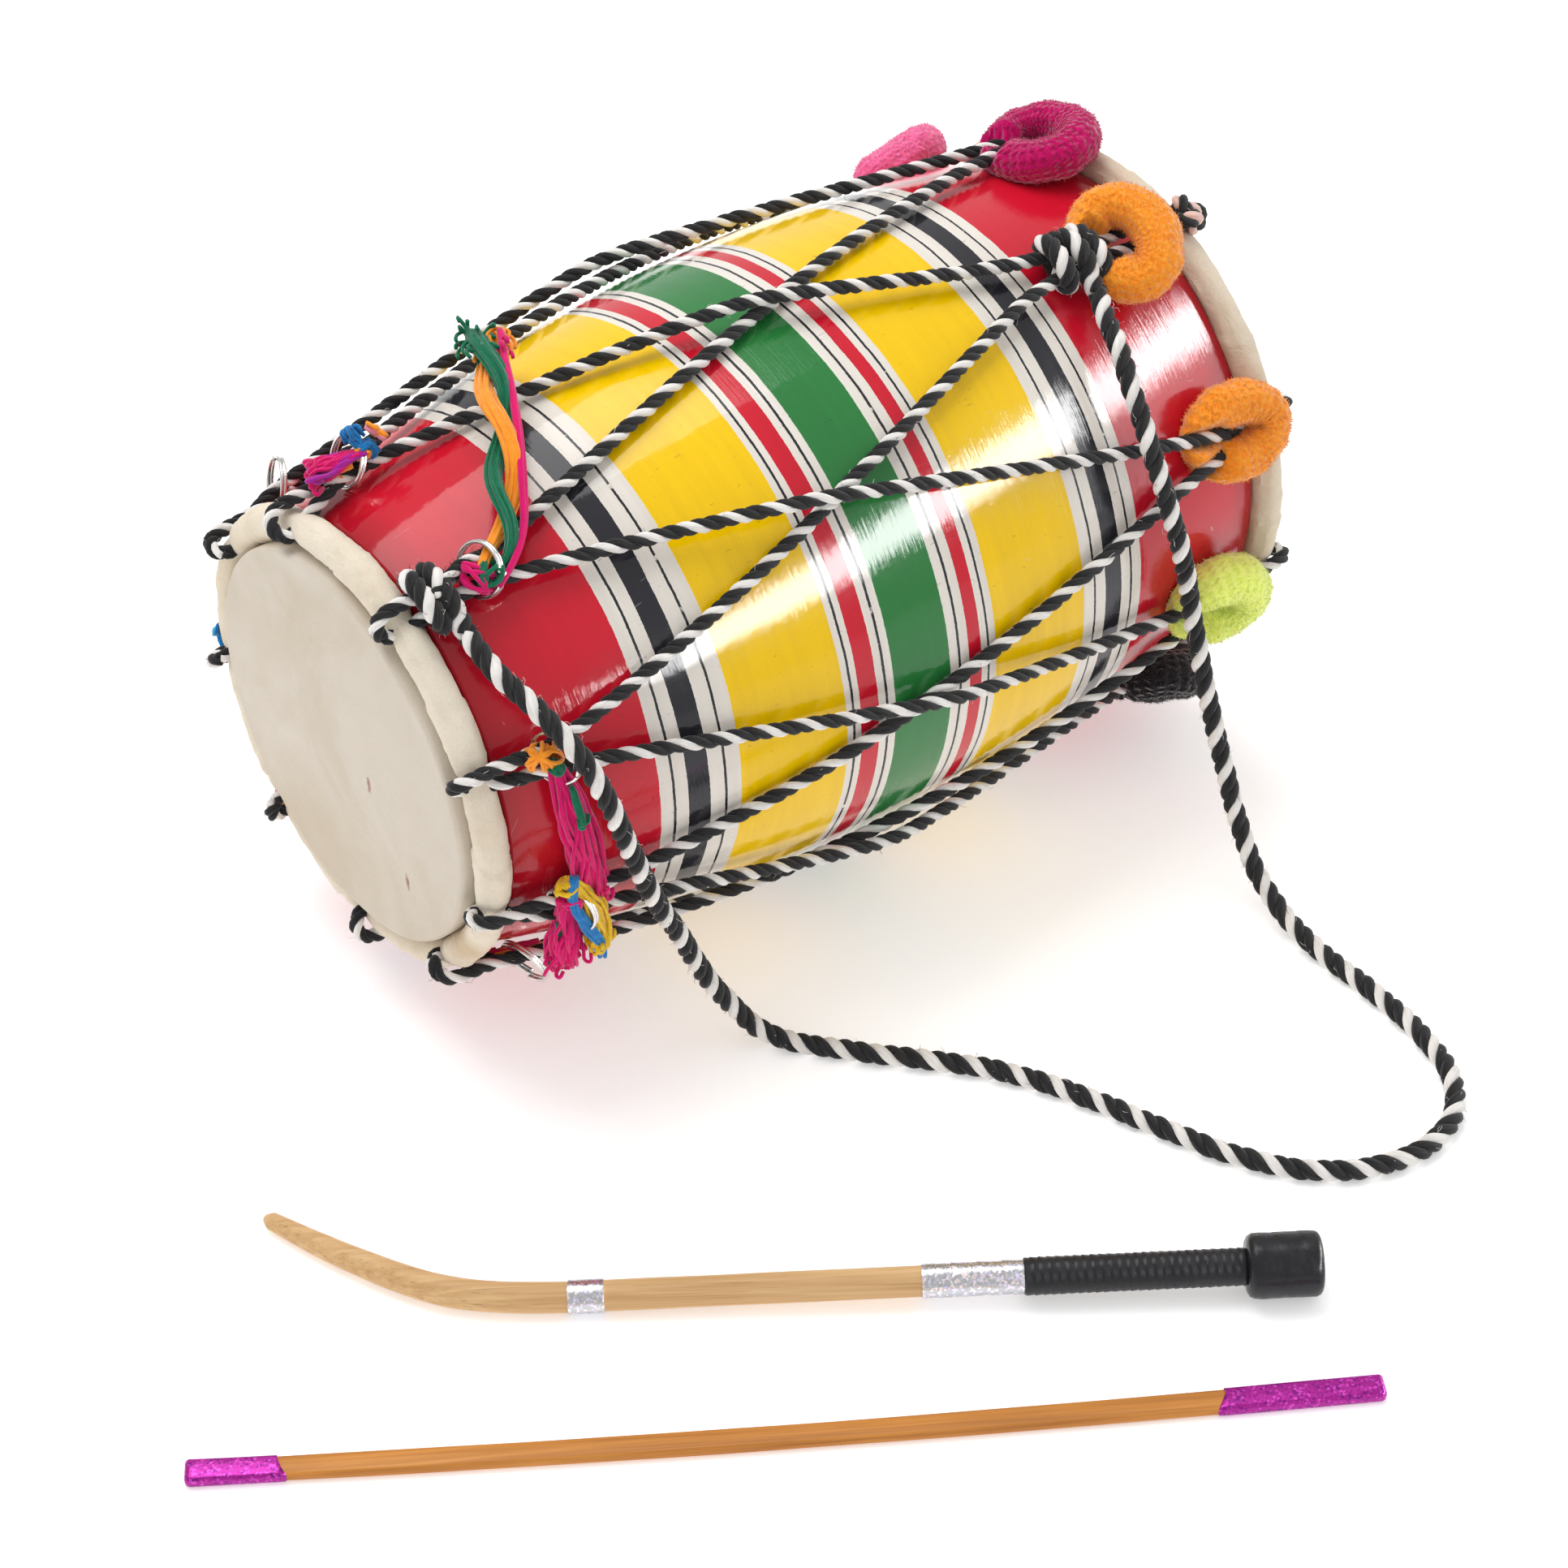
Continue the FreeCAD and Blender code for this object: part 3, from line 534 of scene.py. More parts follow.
@dataclass(frozen=True)
class BandLacquer:
    """The barrel's painted bands under gloss lacquer."""

    red: Colour = (0.62, 0.009, 0.027)
    yellow: Colour = (0.93, 0.585, 0.0)
    green: Colour = (0.024, 0.20, 0.045)
    white: Colour = (0.80, 0.75, 0.68)
    black: Colour = (0.022, 0.022, 0.028)

    def bands(self) -> list[tuple[float, Colour]]:
        """Gives each band's first station and its colour."""
        return [(-200.0, self.red), (-111.1, self.white), (-100.3, self.black), (-91.6, self.white),
                (-79.0, self.yellow), (-34.4, self.white), (-28.2, self.red), (-20.3, self.white),
                (-12.9, self.green), (12.9, self.white), (21.9, self.red), (27.7, self.white),
                (34.8, self.yellow), (80.0, self.white), (91.6, self.black), (100.3, self.white),
                (111.1, self.red)]

    def lines(self) -> list[tuple[float, float]]:
        """Gives the middle and half width of each thin black line."""
        return [(-105.7, 0.5), (-85.3, 0.5), (-31.3, 0.5), (-16.6, 0.55),
                (17.4, 0.55), (31.2, 0.5), (85.8, 0.5), (105.7, 0.5)]

    def material(self) -> bpy.types.Material:
        """Builds the lacquer, with painted shade towards both ends."""
        s = Shader("band_lacquer")
        centre = tuple(-MIDDLE * MM)
        place = s.mapped(location=centre)
        split = s.node("ShaderNodeSeparateXYZ", {0: place})
        sway = s.math("MULTIPLY_ADD", s.noise(place, 45.0, 2.0), 0.0011, -0.00055)
        fine = s.math("MULTIPLY_ADD", s.noise(place, 700.0, 2.0), 0.0004, -0.0002)
        station = s.math("ADD", s.math("ADD", split.outputs[0], sway), fine)
        paint = self.bands()[0][1]
        for edge, colour in self.bands()[1:]:
            paint = s.blend(s.math("GREATER_THAN", station, edge * MM), paint, colour)
        line = 0.0
        for middle, half in self.lines():
            line = s.math("MAXIMUM", line, s.math("COMPARE", station, middle * MM, half * MM))
        broken = s.grey(s.noise(place, 160.0, 3.0), 0.28, 0.34)
        inked = s.blend(s.math("MULTIPLY", line, broken), paint, self.black)
        brushed = s.noise(s.mapped(location=centre, scale=(16.0, 1.2, 1.2)), 14.0, 5.0, 0.65)
        turned = s.noise(s.mapped(location=centre, scale=(60.0, 1.5, 1.5)), 14.0, 4.0, 0.6)
        toned = s.darker(s.grey(brushed, 0.35, 0.75, 0.0, 0.22), inked, (0.55, 0.5, 0.5))
        # painted shade: the lacquer darkens towards both ends of the shell, where the hoops shade it
        near_rim_shade = s.grey(station, -0.150, -0.166, 0.0, 0.7)
        far_rim_shade = s.grey(station, 0.164, 0.178, 0.0, 0.7)
        toned = s.darker(s.math("MAXIMUM", near_rim_shade, far_rim_shade), toned, (0.45, 0.35, 0.35))
        grain = s.noise(s.mapped(scale=(0.25, 1.0, 1.0)), 900.0, 2.0, 0.6)
        speck = s.grey(grain, 0.70, 0.74)
        dusty = s.blend(s.math("MULTIPLY", speck, 0.35), toned, (0.03, 0.02, 0.02))
        scratch_field = s.noise(s.mapped(rotation=(0.5, 0.7, 0.4), scale=(1.0, 14.0, 1.0)), 60.0, 2.0)
        patches = s.grey(s.noise(place, 11.0), 0.52, 0.60)
        scratch = s.math("MULTIPLY", s.grey(scratch_field, 0.735, 0.745), patches)
        worn = s.blend(s.math("MULTIPLY", scratch, 0.4), dusty, (0.85, 0.75, 0.7))
        wave = s.bump(s.noise(place, 26.0, 2.0), 0.16, 0.004)
        ripple = s.bump(s.noise(s.mapped(scale=(1.0, 3.0, 3.0)), 90.0, 3.0, 0.6), 0.12, 0.0008, wave)
        edges = s.bump(s.math("MULTIPLY", line, broken), 0.25, 0.0002, ripple)
        rough = s.grey(brushed, 0.3, 0.8, 0.16, 0.34)
        coat_wave = s.bump(s.noise(place, 38.0, 3.0, 0.6), 0.10, 0.0022)
        coat_wave = s.bump(turned, 0.22, 0.0004, coat_wave)
        return s.done(Base_Color=worn, Roughness=rough, Normal=edges, Coat_Weight=0.95, Coat_Roughness=0.05,
                      Coat_IOR=1.38, Coat_Normal=coat_wave, Specular_IOR_Level=0.05)


@dataclass(frozen=True)
class Hide:
    """Raw hide: cream, stained and finely grained."""

    name: str
    light: Colour = (0.74, 0.68, 0.58)
    dark: Colour = (0.50, 0.40, 0.27)
    stain: float = 0.55
    grain: float = 0.25
    rough: float = 0.5
    flecks: tuple[tuple[float, ...], ...] = ()
    blots: tuple[tuple[float, ...], ...] = ()

    def material(self) -> bpy.types.Material:
        """Builds the hide. A fleck is a place and its slant, a blot a place, its size and its strength."""
        s = Shader(self.name)
        place = s.where()
        broad = s.noise(place, 14.0, 4.0, 0.6, 0.6)
        middle = s.noise(place, 60.0, 4.0, 0.65)
        pores = s.noise(place, 1500.0, 2.0, 0.6)
        base = s.blend(s.grey(broad, 0.42, 0.72, 0.0, self.stain), self.light, self.dark)
        base = s.blend(s.grey(middle, 0.5, 0.8, 0.0, 0.35), base, (0.62, 0.55, 0.45))
        base = s.blend(s.grey(pores, 0.35, 0.65, 0.0, 0.16), base, (0.45, 0.36, 0.26))
        for *spot, slant in self.flecks:
            moved = s.mapped(location=tuple(-c for c in spot))
            near = s.distance(s.mapped(rotation=(slant, 0.0, 0.0), scale=(0.5, 2.2, 0.62), source=moved))
            rough_edge = s.math("MULTIPLY_ADD", s.noise(place, 500.0, 2.0), 0.004, -0.002)
            mark = s.grey(s.math("ADD", near, rough_edge), 0.0030, 0.0012)
            base = s.blend(s.math("MULTIPLY", mark, 0.8), base, (0.26, 0.10, 0.06))
        for *spot, size, strength in self.blots:
            away = s.distance(s.mapped(location=tuple(-c for c in spot)))
            edge = s.math("MULTIPLY_ADD", s.noise(place, 55.0, 4.0, 0.6), 0.5 * size, -0.25 * size)
            share = s.grey(s.math("ADD", away, edge), size, 0.35 * size, 0.0, strength)
            base = s.blend(share, base, self.dark)
        crease = s.noise(s.mapped(scale=(1.0, 0.35, 1.0)), 120.0, 4.0, 0.7, 1.2)
        normal = s.bump(crease, self.grain, 0.0012)
        normal = s.bump(pores, 0.25, 0.0002, normal)
        rough = s.grey(middle, 0.3, 0.7, self.rough, self.rough + 0.18)
        return s.done(Base_Color=base, Roughness=rough, Normal=normal, Subsurface_Weight=0.08,
                      Subsurface_Scale=0.004, Specular_IOR_Level=0.2)


@dataclass(frozen=True)
class Yarn:
    """Spun yarn or a rope's strand, with fibres that run slightly across it."""

    name: str
    colour: Colour
    second: Colour
    fibres: float = 1.0
    sheen: float = 0.35

    def material(self) -> bpy.types.Material:
        """Builds the yarn."""
        s = Shader(self.name)
        lie = s.mapped(rotation=(0.0, 0.0, 0.5), scale=(2600.0 * self.fibres, 260.0 * self.fibres, 1.0),
                       source=s.along())
        fibre = s.noise(lie, 1.0, 3.0, 0.65)
        broad = s.noise(s.where(), 130.0, 3.0, 0.6)
        tint = s.blend(s.grey(fibre, 0.38, 0.68), self.colour, self.second)
        shade = s.darker(s.grey(broad, 0.45, 0.8, 0.0, 0.4), tint, (0.6, 0.58, 0.58))
        return s.done(Base_Color=shade, Roughness=0.88, Normal=s.bump(fibre, 0.55, 0.0003),
                      Sheen_Weight=self.sheen, Sheen_Roughness=0.45, Specular_IOR_Level=0.15)


@dataclass(frozen=True)
class Wool:
    """Brushed wool of a soft roll, with its stitches' two spacings and how deep they are, which also sets the painted
    shade in their grooves.
    """

    name: str
    colour: Colour
    deep: Colour
    knit_depth_and_shade: float
    around: float = 1700.0
    lengthwise: float = 2166.0

    def material(self) -> bpy.types.Material:
        """Builds the wool, with its rows of stitches along the roll."""
        s = Shader(self.name)
        place = s.where()
        curl = s.noise(place, 620.0, 4.0, 0.7)
        clump = s.noise(place, 150.0, 3.0, 0.6)
        lie = s.node("ShaderNodeSeparateXYZ", {0: s.along()})
        stray = s.math("MULTIPLY", clump, 9.0)
        rows = s.math("SINE", s.math("MULTIPLY_ADD", lie.outputs[0], self.around, stray))
        shift = s.math("MULTIPLY", rows, 1.1)
        loops = s.math("SINE", s.math("ADD", s.math("MULTIPLY", lie.outputs[1], self.lengthwise), shift))
        stitch = s.math("MULTIPLY_ADD", s.math("ADD", rows, loops), 0.25, 0.5)
        base = s.blend(s.grey(curl, 0.36, 0.62), self.deep, self.colour)
        base = s.blend(s.grey(clump, 0.5, 0.8, 0.0, 0.3), base, self.deep)
        # painted shade: the grooves between the stitches are darkened towards the deep colour
        base = s.blend(s.grey(stitch, 0.45, 0.1, 0.0, self.knit_depth_and_shade), base, self.deep)
        normal = s.bump(clump, 0.35, 0.0012)
        normal = s.bump(stitch, 0.35 + 0.5 * self.knit_depth_and_shade, 0.0014, normal)
        normal = s.bump(curl, 0.6, 0.0006, normal)
        return s.done(Base_Color=base, Roughness=0.95, Normal=normal, Sheen_Weight=0.6, Sheen_Roughness=0.4,
                      Subsurface_Weight=0.12, Subsurface_Scale=0.002, Specular_IOR_Level=0.1)


@dataclass(frozen=True)
class Steel:
    """Plated ring wire with a little tarnish."""

    colour: Colour = (0.72, 0.71, 0.69)

    def material(self) -> bpy.types.Material:
        """Builds the plating."""
        s = Shader("ring_steel")
        spots = s.noise(s.where(), 420.0, 3.0, 0.6)
        base = s.blend(s.grey(spots, 0.5, 0.75, 0.0, 0.5), self.colour, (0.42, 0.38, 0.33))
        return s.done(Base_Color=base, Metallic=1.0, Roughness=s.grey(spots, 0.3, 0.8, 0.16, 0.4),
                      Normal=s.bump(spots, 0.1, 0.0002))


class Grainway(Enum):
    """Which of the two sticks a grain belongs to."""

    BEATER = "beater_wood"
    CANE = "split_cane"


@dataclass(frozen=True)
class StickWood:
    """A stick's wood, with its grain along the stick's own line."""

    way: Grainway
    light: Colour
    dark: Colour
    heading: float
    rough: float

    def material(self) -> bpy.types.Material:
        """Builds the wood."""
        s = Shader(self.way.value)
        lie = s.mapped(rotation=(0.0, 0.0, -self.heading))
        grain = s.noise(s.mapped(scale=(10.0, 420.0, 420.0), source=lie), 1.0, 4.0, 0.6, 0.3)
        streak = s.noise(s.mapped(scale=(3.0, 1500.0, 1500.0), source=lie), 1.0, 2.0)
        patch = s.noise(s.mapped(scale=(14.0, 40.0, 40.0), source=lie), 1.0, 3.0)
        base = s.blend(s.grey(grain, 0.35, 0.7), self.light, self.dark)
        base = s.blend(s.grey(patch, 0.5, 0.8, 0.0, 0.45), base, self.dark)
        base = s.blend(s.grey(streak, 0.62, 0.72, 0.0, 0.45), base, (0.16, 0.08, 0.03))
        rough = s.grey(grain, 0.3, 0.7, self.rough, self.rough + 0.15)
        return s.done(Base_Color=base, Roughness=rough, Normal=s.bump(grain, 0.12, 0.0004),
                      Coat_Weight=0.1, Coat_Roughness=0.25, Specular_IOR_Level=0.2)


@dataclass(frozen=True)
class FoilTape:
    """Shiny foil that breaks light into specks of colour."""

    name: str
    colour: Colour
    specks: tuple[Colour, Colour]
    metal: float = 0.9

    def material(self) -> bpy.types.Material:
        """Builds the foil."""
        s = Shader(self.name)
        cells = s.node("ShaderNodeTexVoronoi", {"Vector": s.where(), "Scale": 1100.0})
        tone = s.node("ShaderNodeSeparateColor", {0: cells.outputs["Color"]})
        base = s.blend(s.grey(tone.outputs[0], 0.80, 0.86), self.colour, self.specks[0])
        base = s.blend(s.grey(tone.outputs[1], 0.84, 0.9), base, self.specks[1])
        crease = s.noise(s.where(), 260.0, 4.0, 0.7)
        normal = s.bump(crease, 0.35, 0.0006)
        rough = s.grey(tone.outputs[2], 0.0, 1.0, 0.16, 0.36)
        return s.done(Base_Color=base, Metallic=self.metal, Roughness=rough, Normal=normal)


@dataclass(frozen=True)
class BlackTape:
    """Wound black tape, glossy and dented."""

    name: str
    rough: float

    def material(self) -> bpy.types.Material:
        """Builds the tape."""
        s = Shader(self.name)
        dents = s.noise(s.where(), 240.0, 3.0, 0.6)
        dust = s.noise(s.where(), 900.0, 3.0, 0.7)
        base = s.blend(s.grey(dust, 0.66, 0.8, 0.0, 0.3), (0.012, 0.012, 0.015), (0.12, 0.12, 0.13))
        rough = s.grey(dents, 0.3, 0.7, self.rough, self.rough + 0.15)
        return s.done(Base_Color=base, Roughness=rough, Normal=s.bump(dents, 0.3, 0.0006),
                      Specular_IOR_Level=0.3)


class Finishes:
    """Every finish of the drum, built once."""

    def __init__(self) -> None:
        """Builds the materials."""
        self.lacquer = BandLacquer().material()
        flecks = tuple((*framed(place), slant) for *place, slant in (
            (-184.2, -22.0, -2.0, 0.7), (-184.2, -42.0, -36.0, 0.5)))
        self.near_hide = Hide("near_hide", light=(0.65, 0.585, 0.50), flecks=flecks,
                              blots=((*framed((-184.0, 20.0, -60.0)), 0.045, 0.45),)).material()
        self.far_hide = Hide("far_hide").material()
        self.wrap = Hide("hoop_wrap", light=(0.80, 0.72, 0.59), dark=(0.55, 0.40, 0.24), grain=0.65,
                         rough=0.6, blots=((*framed((-180.0, -72.0, -50.0)), 0.012, 0.7),)).material()
        self.rope_black = Yarn("rope_black", (0.012, 0.012, 0.013), (0.035, 0.034, 0.036), 0.7, 0.2).material()
        self.rope_white = Yarn("rope_white", (0.90, 0.88, 0.85), (0.74, 0.70, 0.66), 0.7).material()
        self.rope_peach = Yarn("rope_peach", (0.85, 0.62, 0.55), (0.7, 0.45, 0.38), 0.7).material()
        self.steel = Steel().material()
        self.yarns = {name: Yarn("yarn_" + name, colour, deep, 1.3).material() for name, colour, deep in (
            ("green", (0.0, 0.12, 0.055), (0.0, 0.21, 0.10)),
            ("orange", (1.0, 0.38, 0.03), (0.95, 0.26, 0.005)),
            ("magenta", (0.82, 0.0, 0.17), (0.60, 0.0, 0.12)),
            ("yellow", (0.9, 0.6, 0.02), (0.75, 0.42, 0.0)),
            ("blue", (0.0, 0.12, 0.45), (0.02, 0.3, 0.6)),
            ("sky", (0.1, 0.5, 0.75), (0.05, 0.35, 0.6)),
            ("pink", (0.9, 0.35, 0.45), (0.8, 0.2, 0.3)),
            ("purple", (0.35, 0.02, 0.35), (0.5, 0.0, 0.3)))}
        # the last number of each row sets the stitches' depth and the painted shade in their grooves
        self.wools = {name: Wool("wool_" + name, colour, deep, knit_depth_and_shade).material() for name, colour, deep, knit_depth_and_shade in (
            ("pink", (0.98, 0.20, 0.42), (0.85, 0.11, 0.30), 0.5),
            ("magenta", (0.66, 0.0, 0.15), (0.38, 0.0, 0.08), 0.6),
            ("orange", (1.0, 0.40, 0.045), (1.0, 0.27, 0.01), 0.5),
            ("neon", (0.95, 1.0, 0.28), (0.80, 0.95, 0.13), 0.4),
            ("black", (0.014, 0.014, 0.016), (0.004, 0.004, 0.005), 0.9),
            ("green", (0.02, 0.3, 0.12), (0.0, 0.14, 0.05), 0.5))}
        self.beater = StickWood(Grainway.BEATER, (0.72, 0.47, 0.23), (0.54, 0.31, 0.13),
                                math.radians(Beater.heading), 0.42).material()
        self.cane = StickWood(Grainway.CANE, (0.66, 0.27, 0.05), (0.40, 0.14, 0.02), math.radians(-32.9),
                              0.35).material()
        self.silver = FoilTape("silver_foil", (0.52, 0.53, 0.55),
                               ((0.75, 0.7, 0.95), (0.95, 0.8, 0.8))).material()
        self.magenta = FoilTape("magenta_foil", (0.38, 0.006, 0.27), ((0.62, 0.05, 0.48), (0.2, 0.0, 0.2)),
                                0.5).material()
        self.grip = BlackTape("grip_tape", 0.28).material()
        self.knob = BlackTape("knob_tape", 0.22).material()


@dataclass
class View:
    """The camera at the photograph's angle, in millimetres from the drum's middle."""

    place: Point = (-680.3, -900.4, 880.6)
    forward: Point = (0.46197, 0.58965, -0.66247)
    right: Point = (0.78718, -0.61673, 0.0)
    lens: float = 83.85

    def build(self) -> bpy.types.Object:
        """Places the camera and makes it the scene's."""
        data = bpy.data.cameras.new("camera")
        data.lens = self.lens
        data.sensor_width = 36.0
        data.clip_end = 20.0
        camera = bpy.data.objects.new("camera", data)
        bpy.context.collection.objects.link(camera)
        right = Vector(self.right).normalized()
        forward = Vector(self.forward).normalized()
        up = right.cross(forward)
        turn = Matrix((right, up, -forward)).transposed().to_4x4()
        camera.matrix_world = Matrix.Translation(framed(self.place)) @ turn
        bpy.context.scene.camera = camera
        return camera


@dataclass(frozen=True)
class SoftBox:
    """A lamp that faces the drum, with its azimuth from +X towards +Y, its elevation and its roll in degrees."""

    name: str
    azimuth: float
    elevation: float
    size: tuple[float, float]
    watts: float
    roll: float = 0.0
    glossy: bool = False


@dataclass
class Studio:
    """A white floor and soft light from all round. Only shiny surfaces see the glossy boxes."""

    floor_size: float = 9.0
    floor_white: float = 0.97
    floor_glow: float = 0.35
    room: float = 0.72
    distance: float = 1.9
    boxes: tuple[SoftBox, ...] = (
        SoftBox("top_box", 100.0, 72.0, (1.6, 1.2), 22.0),
        SoftBox("streak_box", -50.0, 27.0, (2.9, 0.38), 100.0, 4.0, True),
        SoftBox("fade_box", -25.0, 10.0, (1.6, 0.9), 14.0, 0.0, True))

    def hang(self, box: SoftBox) -> None:
        """Hangs a soft box."""
        data = bpy.data.lights.new(box.name, "AREA")
        data.shape = "RECTANGLE"
        data.size, data.size_y = box.size
        data.energy = box.watts
        lamp = bpy.data.objects.new(box.name, data)
        bpy.context.collection.objects.link(lamp)
        a, e = math.radians(box.azimuth), math.radians(box.elevation)
        way = Vector((math.cos(e) * math.cos(a), math.cos(e) * math.sin(a), math.sin(e)))
        lamp.location = Vector(framed((0, 0, 0))) + way * self.distance
        turn = way.to_track_quat("Z", "Y") @ Quaternion((0.0, 0.0, 1.0), math.radians(box.roll))
        lamp.rotation_euler = turn.to_euler()
        lamp.visible_diffuse = not box.glossy

    def build(self) -> None:
        """Lays the floor, lights it and sets the surroundings."""
        deselect()
        bpy.ops.mesh.primitive_plane_add(size=self.floor_size, location=(0.0, 0.0, 0.0))
        floor = bpy.context.object
        floor.name = "studio_floor"
        paper = Shader("studio_paper").done(
            Base_Color=(self.floor_white, self.floor_white, self.floor_white, 1.0), Roughness=0.9,
            Specular_IOR_Level=0.0, Emission_Color=(1.0, 1.0, 1.0, 1.0), Emission_Strength=self.floor_glow)
        floor.data.materials.append(paper)
        world = bpy.data.worlds.new("studio_room")
        bpy.context.scene.world = world
        world.use_nodes = True
        background = world.node_tree.nodes["Background"]
        background.inputs[0].default_value = (1.0, 1.0, 1.0, 1.0)
        background.inputs[1].default_value = self.room
        for box in self.boxes:
            self.hang(box)
        bpy.context.scene.view_settings.view_transform = "Standard"


@dataclass
class Barrel:
    """The hollow wooden shell, with rounded edges and lips."""

    wall: float = 10.0
    lip_wall: float = 8.0
    neck_ease: float = 1.5
    edge_round: float = 1.2
    edge_soft: float = 0.35
    lip_set_in: float = 1.2
    lip_round: float = 2.0
    lip_soft: float = 0.6
    outer_spans: int = 60
    inner_spans: int = 24
    steps: int = 160

    def outside(self) -> list[tuple[float, float]]:
        """Gives the lacquered profile between its two rounded edges."""
        g = LINES
        stations = [g.near_end_x + (g.far_end_x - g.near_end_x) * i / self.outer_spans
                    for i in range(1, self.outer_spans)]
        near, far = [
            [(x, r - self.edge_round),
             (x - side * self.edge_soft, g.shell_r(x - side * self.edge_soft) - self.edge_soft),
             (x - side * self.edge_round, g.shell_r(x - side * self.edge_round))]
            for x, r, side in ((g.near_end_x, g.near_end_r, -1), (g.far_end_x, g.far_end_r, 1))]
        return near + [(x, g.shell_r(x)) for x in stations] + far[::-1]

    def inside(self, lip_near: float, lip_far: float, near_neck: float,
               far_neck: float) -> list[tuple[float, float]]:
        """Gives the bellied profile of the air space, from the far lip to the near one."""
        g = LINES
        crown = g.belly_r - self.wall
        inner = []
        for i in range(self.inner_spans + 1):
            x = lip_far - self.lip_round + (lip_near - lip_far + 2 * self.lip_round) * i / self.inner_spans
            near = x < g.belly_x
            end = (lip_near if near else lip_far) - g.belly_x
            fall = crown - ((near_neck if near else far_neck) - self.lip_wall)
            inner.append((x, crown - fall * ((x - g.belly_x) / end) ** 2))
        return inner

    def build(self, finishes: Finishes) -> list[bpy.types.Object]:
        """Turns the shell and lacquers it."""
        g = LINES
        near_neck = g.near_hoop_r - g.hoop_roll_r - self.neck_ease
        far_neck = g.far_hoop_r - g.hoop_roll_r - self.neck_ease
        lip_near, lip_far = g.near_face_x + self.lip_set_in, g.far_face_x - self.lip_set_in
        big, small = self.lip_round, self.lip_soft
        profile = [(lip_near, near_neck - self.lip_wall + big), (lip_near, near_neck - big),
                   (lip_near + small, near_neck - small), (lip_near + big, near_neck), (g.near_end_x, near_neck)]
        profile += self.outside()
        profile += [(g.far_end_x, far_neck), (lip_far - big, far_neck), (lip_far - small, far_neck - small),
                    (lip_far, far_neck - big), (lip_far, far_neck - self.lip_wall + big)]
        profile += self.inside(lip_near, lip_far, near_neck, far_neck)
        shell = lathe("barrel", profile, self.steps, True)
        smooth_by_angle(shell, 35.0)
        shell.data.materials.append(finishes.lacquer)
        return [stand_in(shell, "shell", "drum")]


@dataclass
class Heads:
    """The two hides, each pulled over its bearing edge, with slack creases at its rim."""

    thick: float = 1.2
    dome: float = 1.6
    skirt: float = 12.0
    clear: float = 0.15
    rim_flat: float = 8.0
    corner: float = 2.2
    inner_corner: float = 1.0
    pole: float = 0.02
    pull: float = 0.28
    slack: float = 0.55
    crinkle: float = 0.12
    crease_at: float = 5.0
    crease_reach: float = 9.0
    steps: int = 144

    def head(self, name: str, node: str, face_x: float, hoop_r: float, side: int,
             material: bpy.types.Material) -> bpy.types.Object:
        """Makes one hide.

        Args:
            name: the piece's name.
            node: the CAD node that it stands for.
            face_x: the station of its flat rim.
            hoop_r: the hoop's radius.
            side: -1 at the near end and 1 at the far one.
            material: its finish.

        Returns:
            The hide.
        """
        outer = hoop_r - LINES.hoop_roll_r - self.clear
        lip = outer - self.thick - self.clear - self.rim_flat
        bend = outer - self.corner
        profile = [(face_x + side * self.dome, self.pole)]
        for r in (lip * i / 14 for i in range(1, 15)):
            profile.append((face_x + side * self.dome * (1 - (r / lip) ** 2), r))
        profile += [(face_x, lip + (bend - lip) * i / 4) for i in range(1, 5)]
        for a in (math.radians(18 * i) for i in range(1, 6)):
            inset = self.corner * (1 - math.cos(a))
            profile.append((face_x - side * inset, bend + self.corner * math.sin(a)))
        profile += [(face_x - side * self.skirt, outer), (face_x - side * self.skirt, outer - self.thick),
                    (face_x - side * (self.thick + self.inner_corner), outer - self.thick),
                    (face_x - side * self.thick, outer - 2 * self.thick), (face_x - side * self.thick, lip),
                    (face_x - side * (self.thick - self.dome * 0.9), self.pole)]
        piece = lathe(name, profile, self.steps, False)
        centre = framed((0.0, 0.0, 0.0))
        for v in piece.data.vertices:
            y, z = v.co.y - centre[1], v.co.z - centre[2]
            r = math.hypot(y, z) / MM
            if r < 1.0 or abs(v.co.x / MM - MIDDLE[0] - face_x) > 2 * self.thick:
                continue
            rim = max(0.0, 1.0 - abs(r - (outer - self.crease_at)) / self.crease_reach)
            pull = math.sin(math.atan2(y, z) * LACES + 0.6) * self.pull * rim
            slack = noise.noise(Vector((y * 28, z * 28, face_x))) * self.slack * (r / outer) ** 2
            fine = noise.noise(Vector((y * 120, z * 120, 3.0))) * self.crinkle * rim
            v.co.x += side * (pull + slack * 0.5 + fine - 0.25 * rim) * MM
        smooth_by_angle(piece, 50.0)
        piece.data.materials.append(material)
        return stand_in(piece, node, "drum")

    def build(self, finishes: Finishes) -> list[bpy.types.Object]:
        """Makes both hides."""
        g = LINES
        return [self.head("near_hide", "near_head_skin", g.near_face_x, g.near_hoop_r, -1, finishes.near_hide),
                self.head("far_hide", "far_head_skin", g.far_face_x, g.far_hoop_r, 1, finishes.far_hide)]


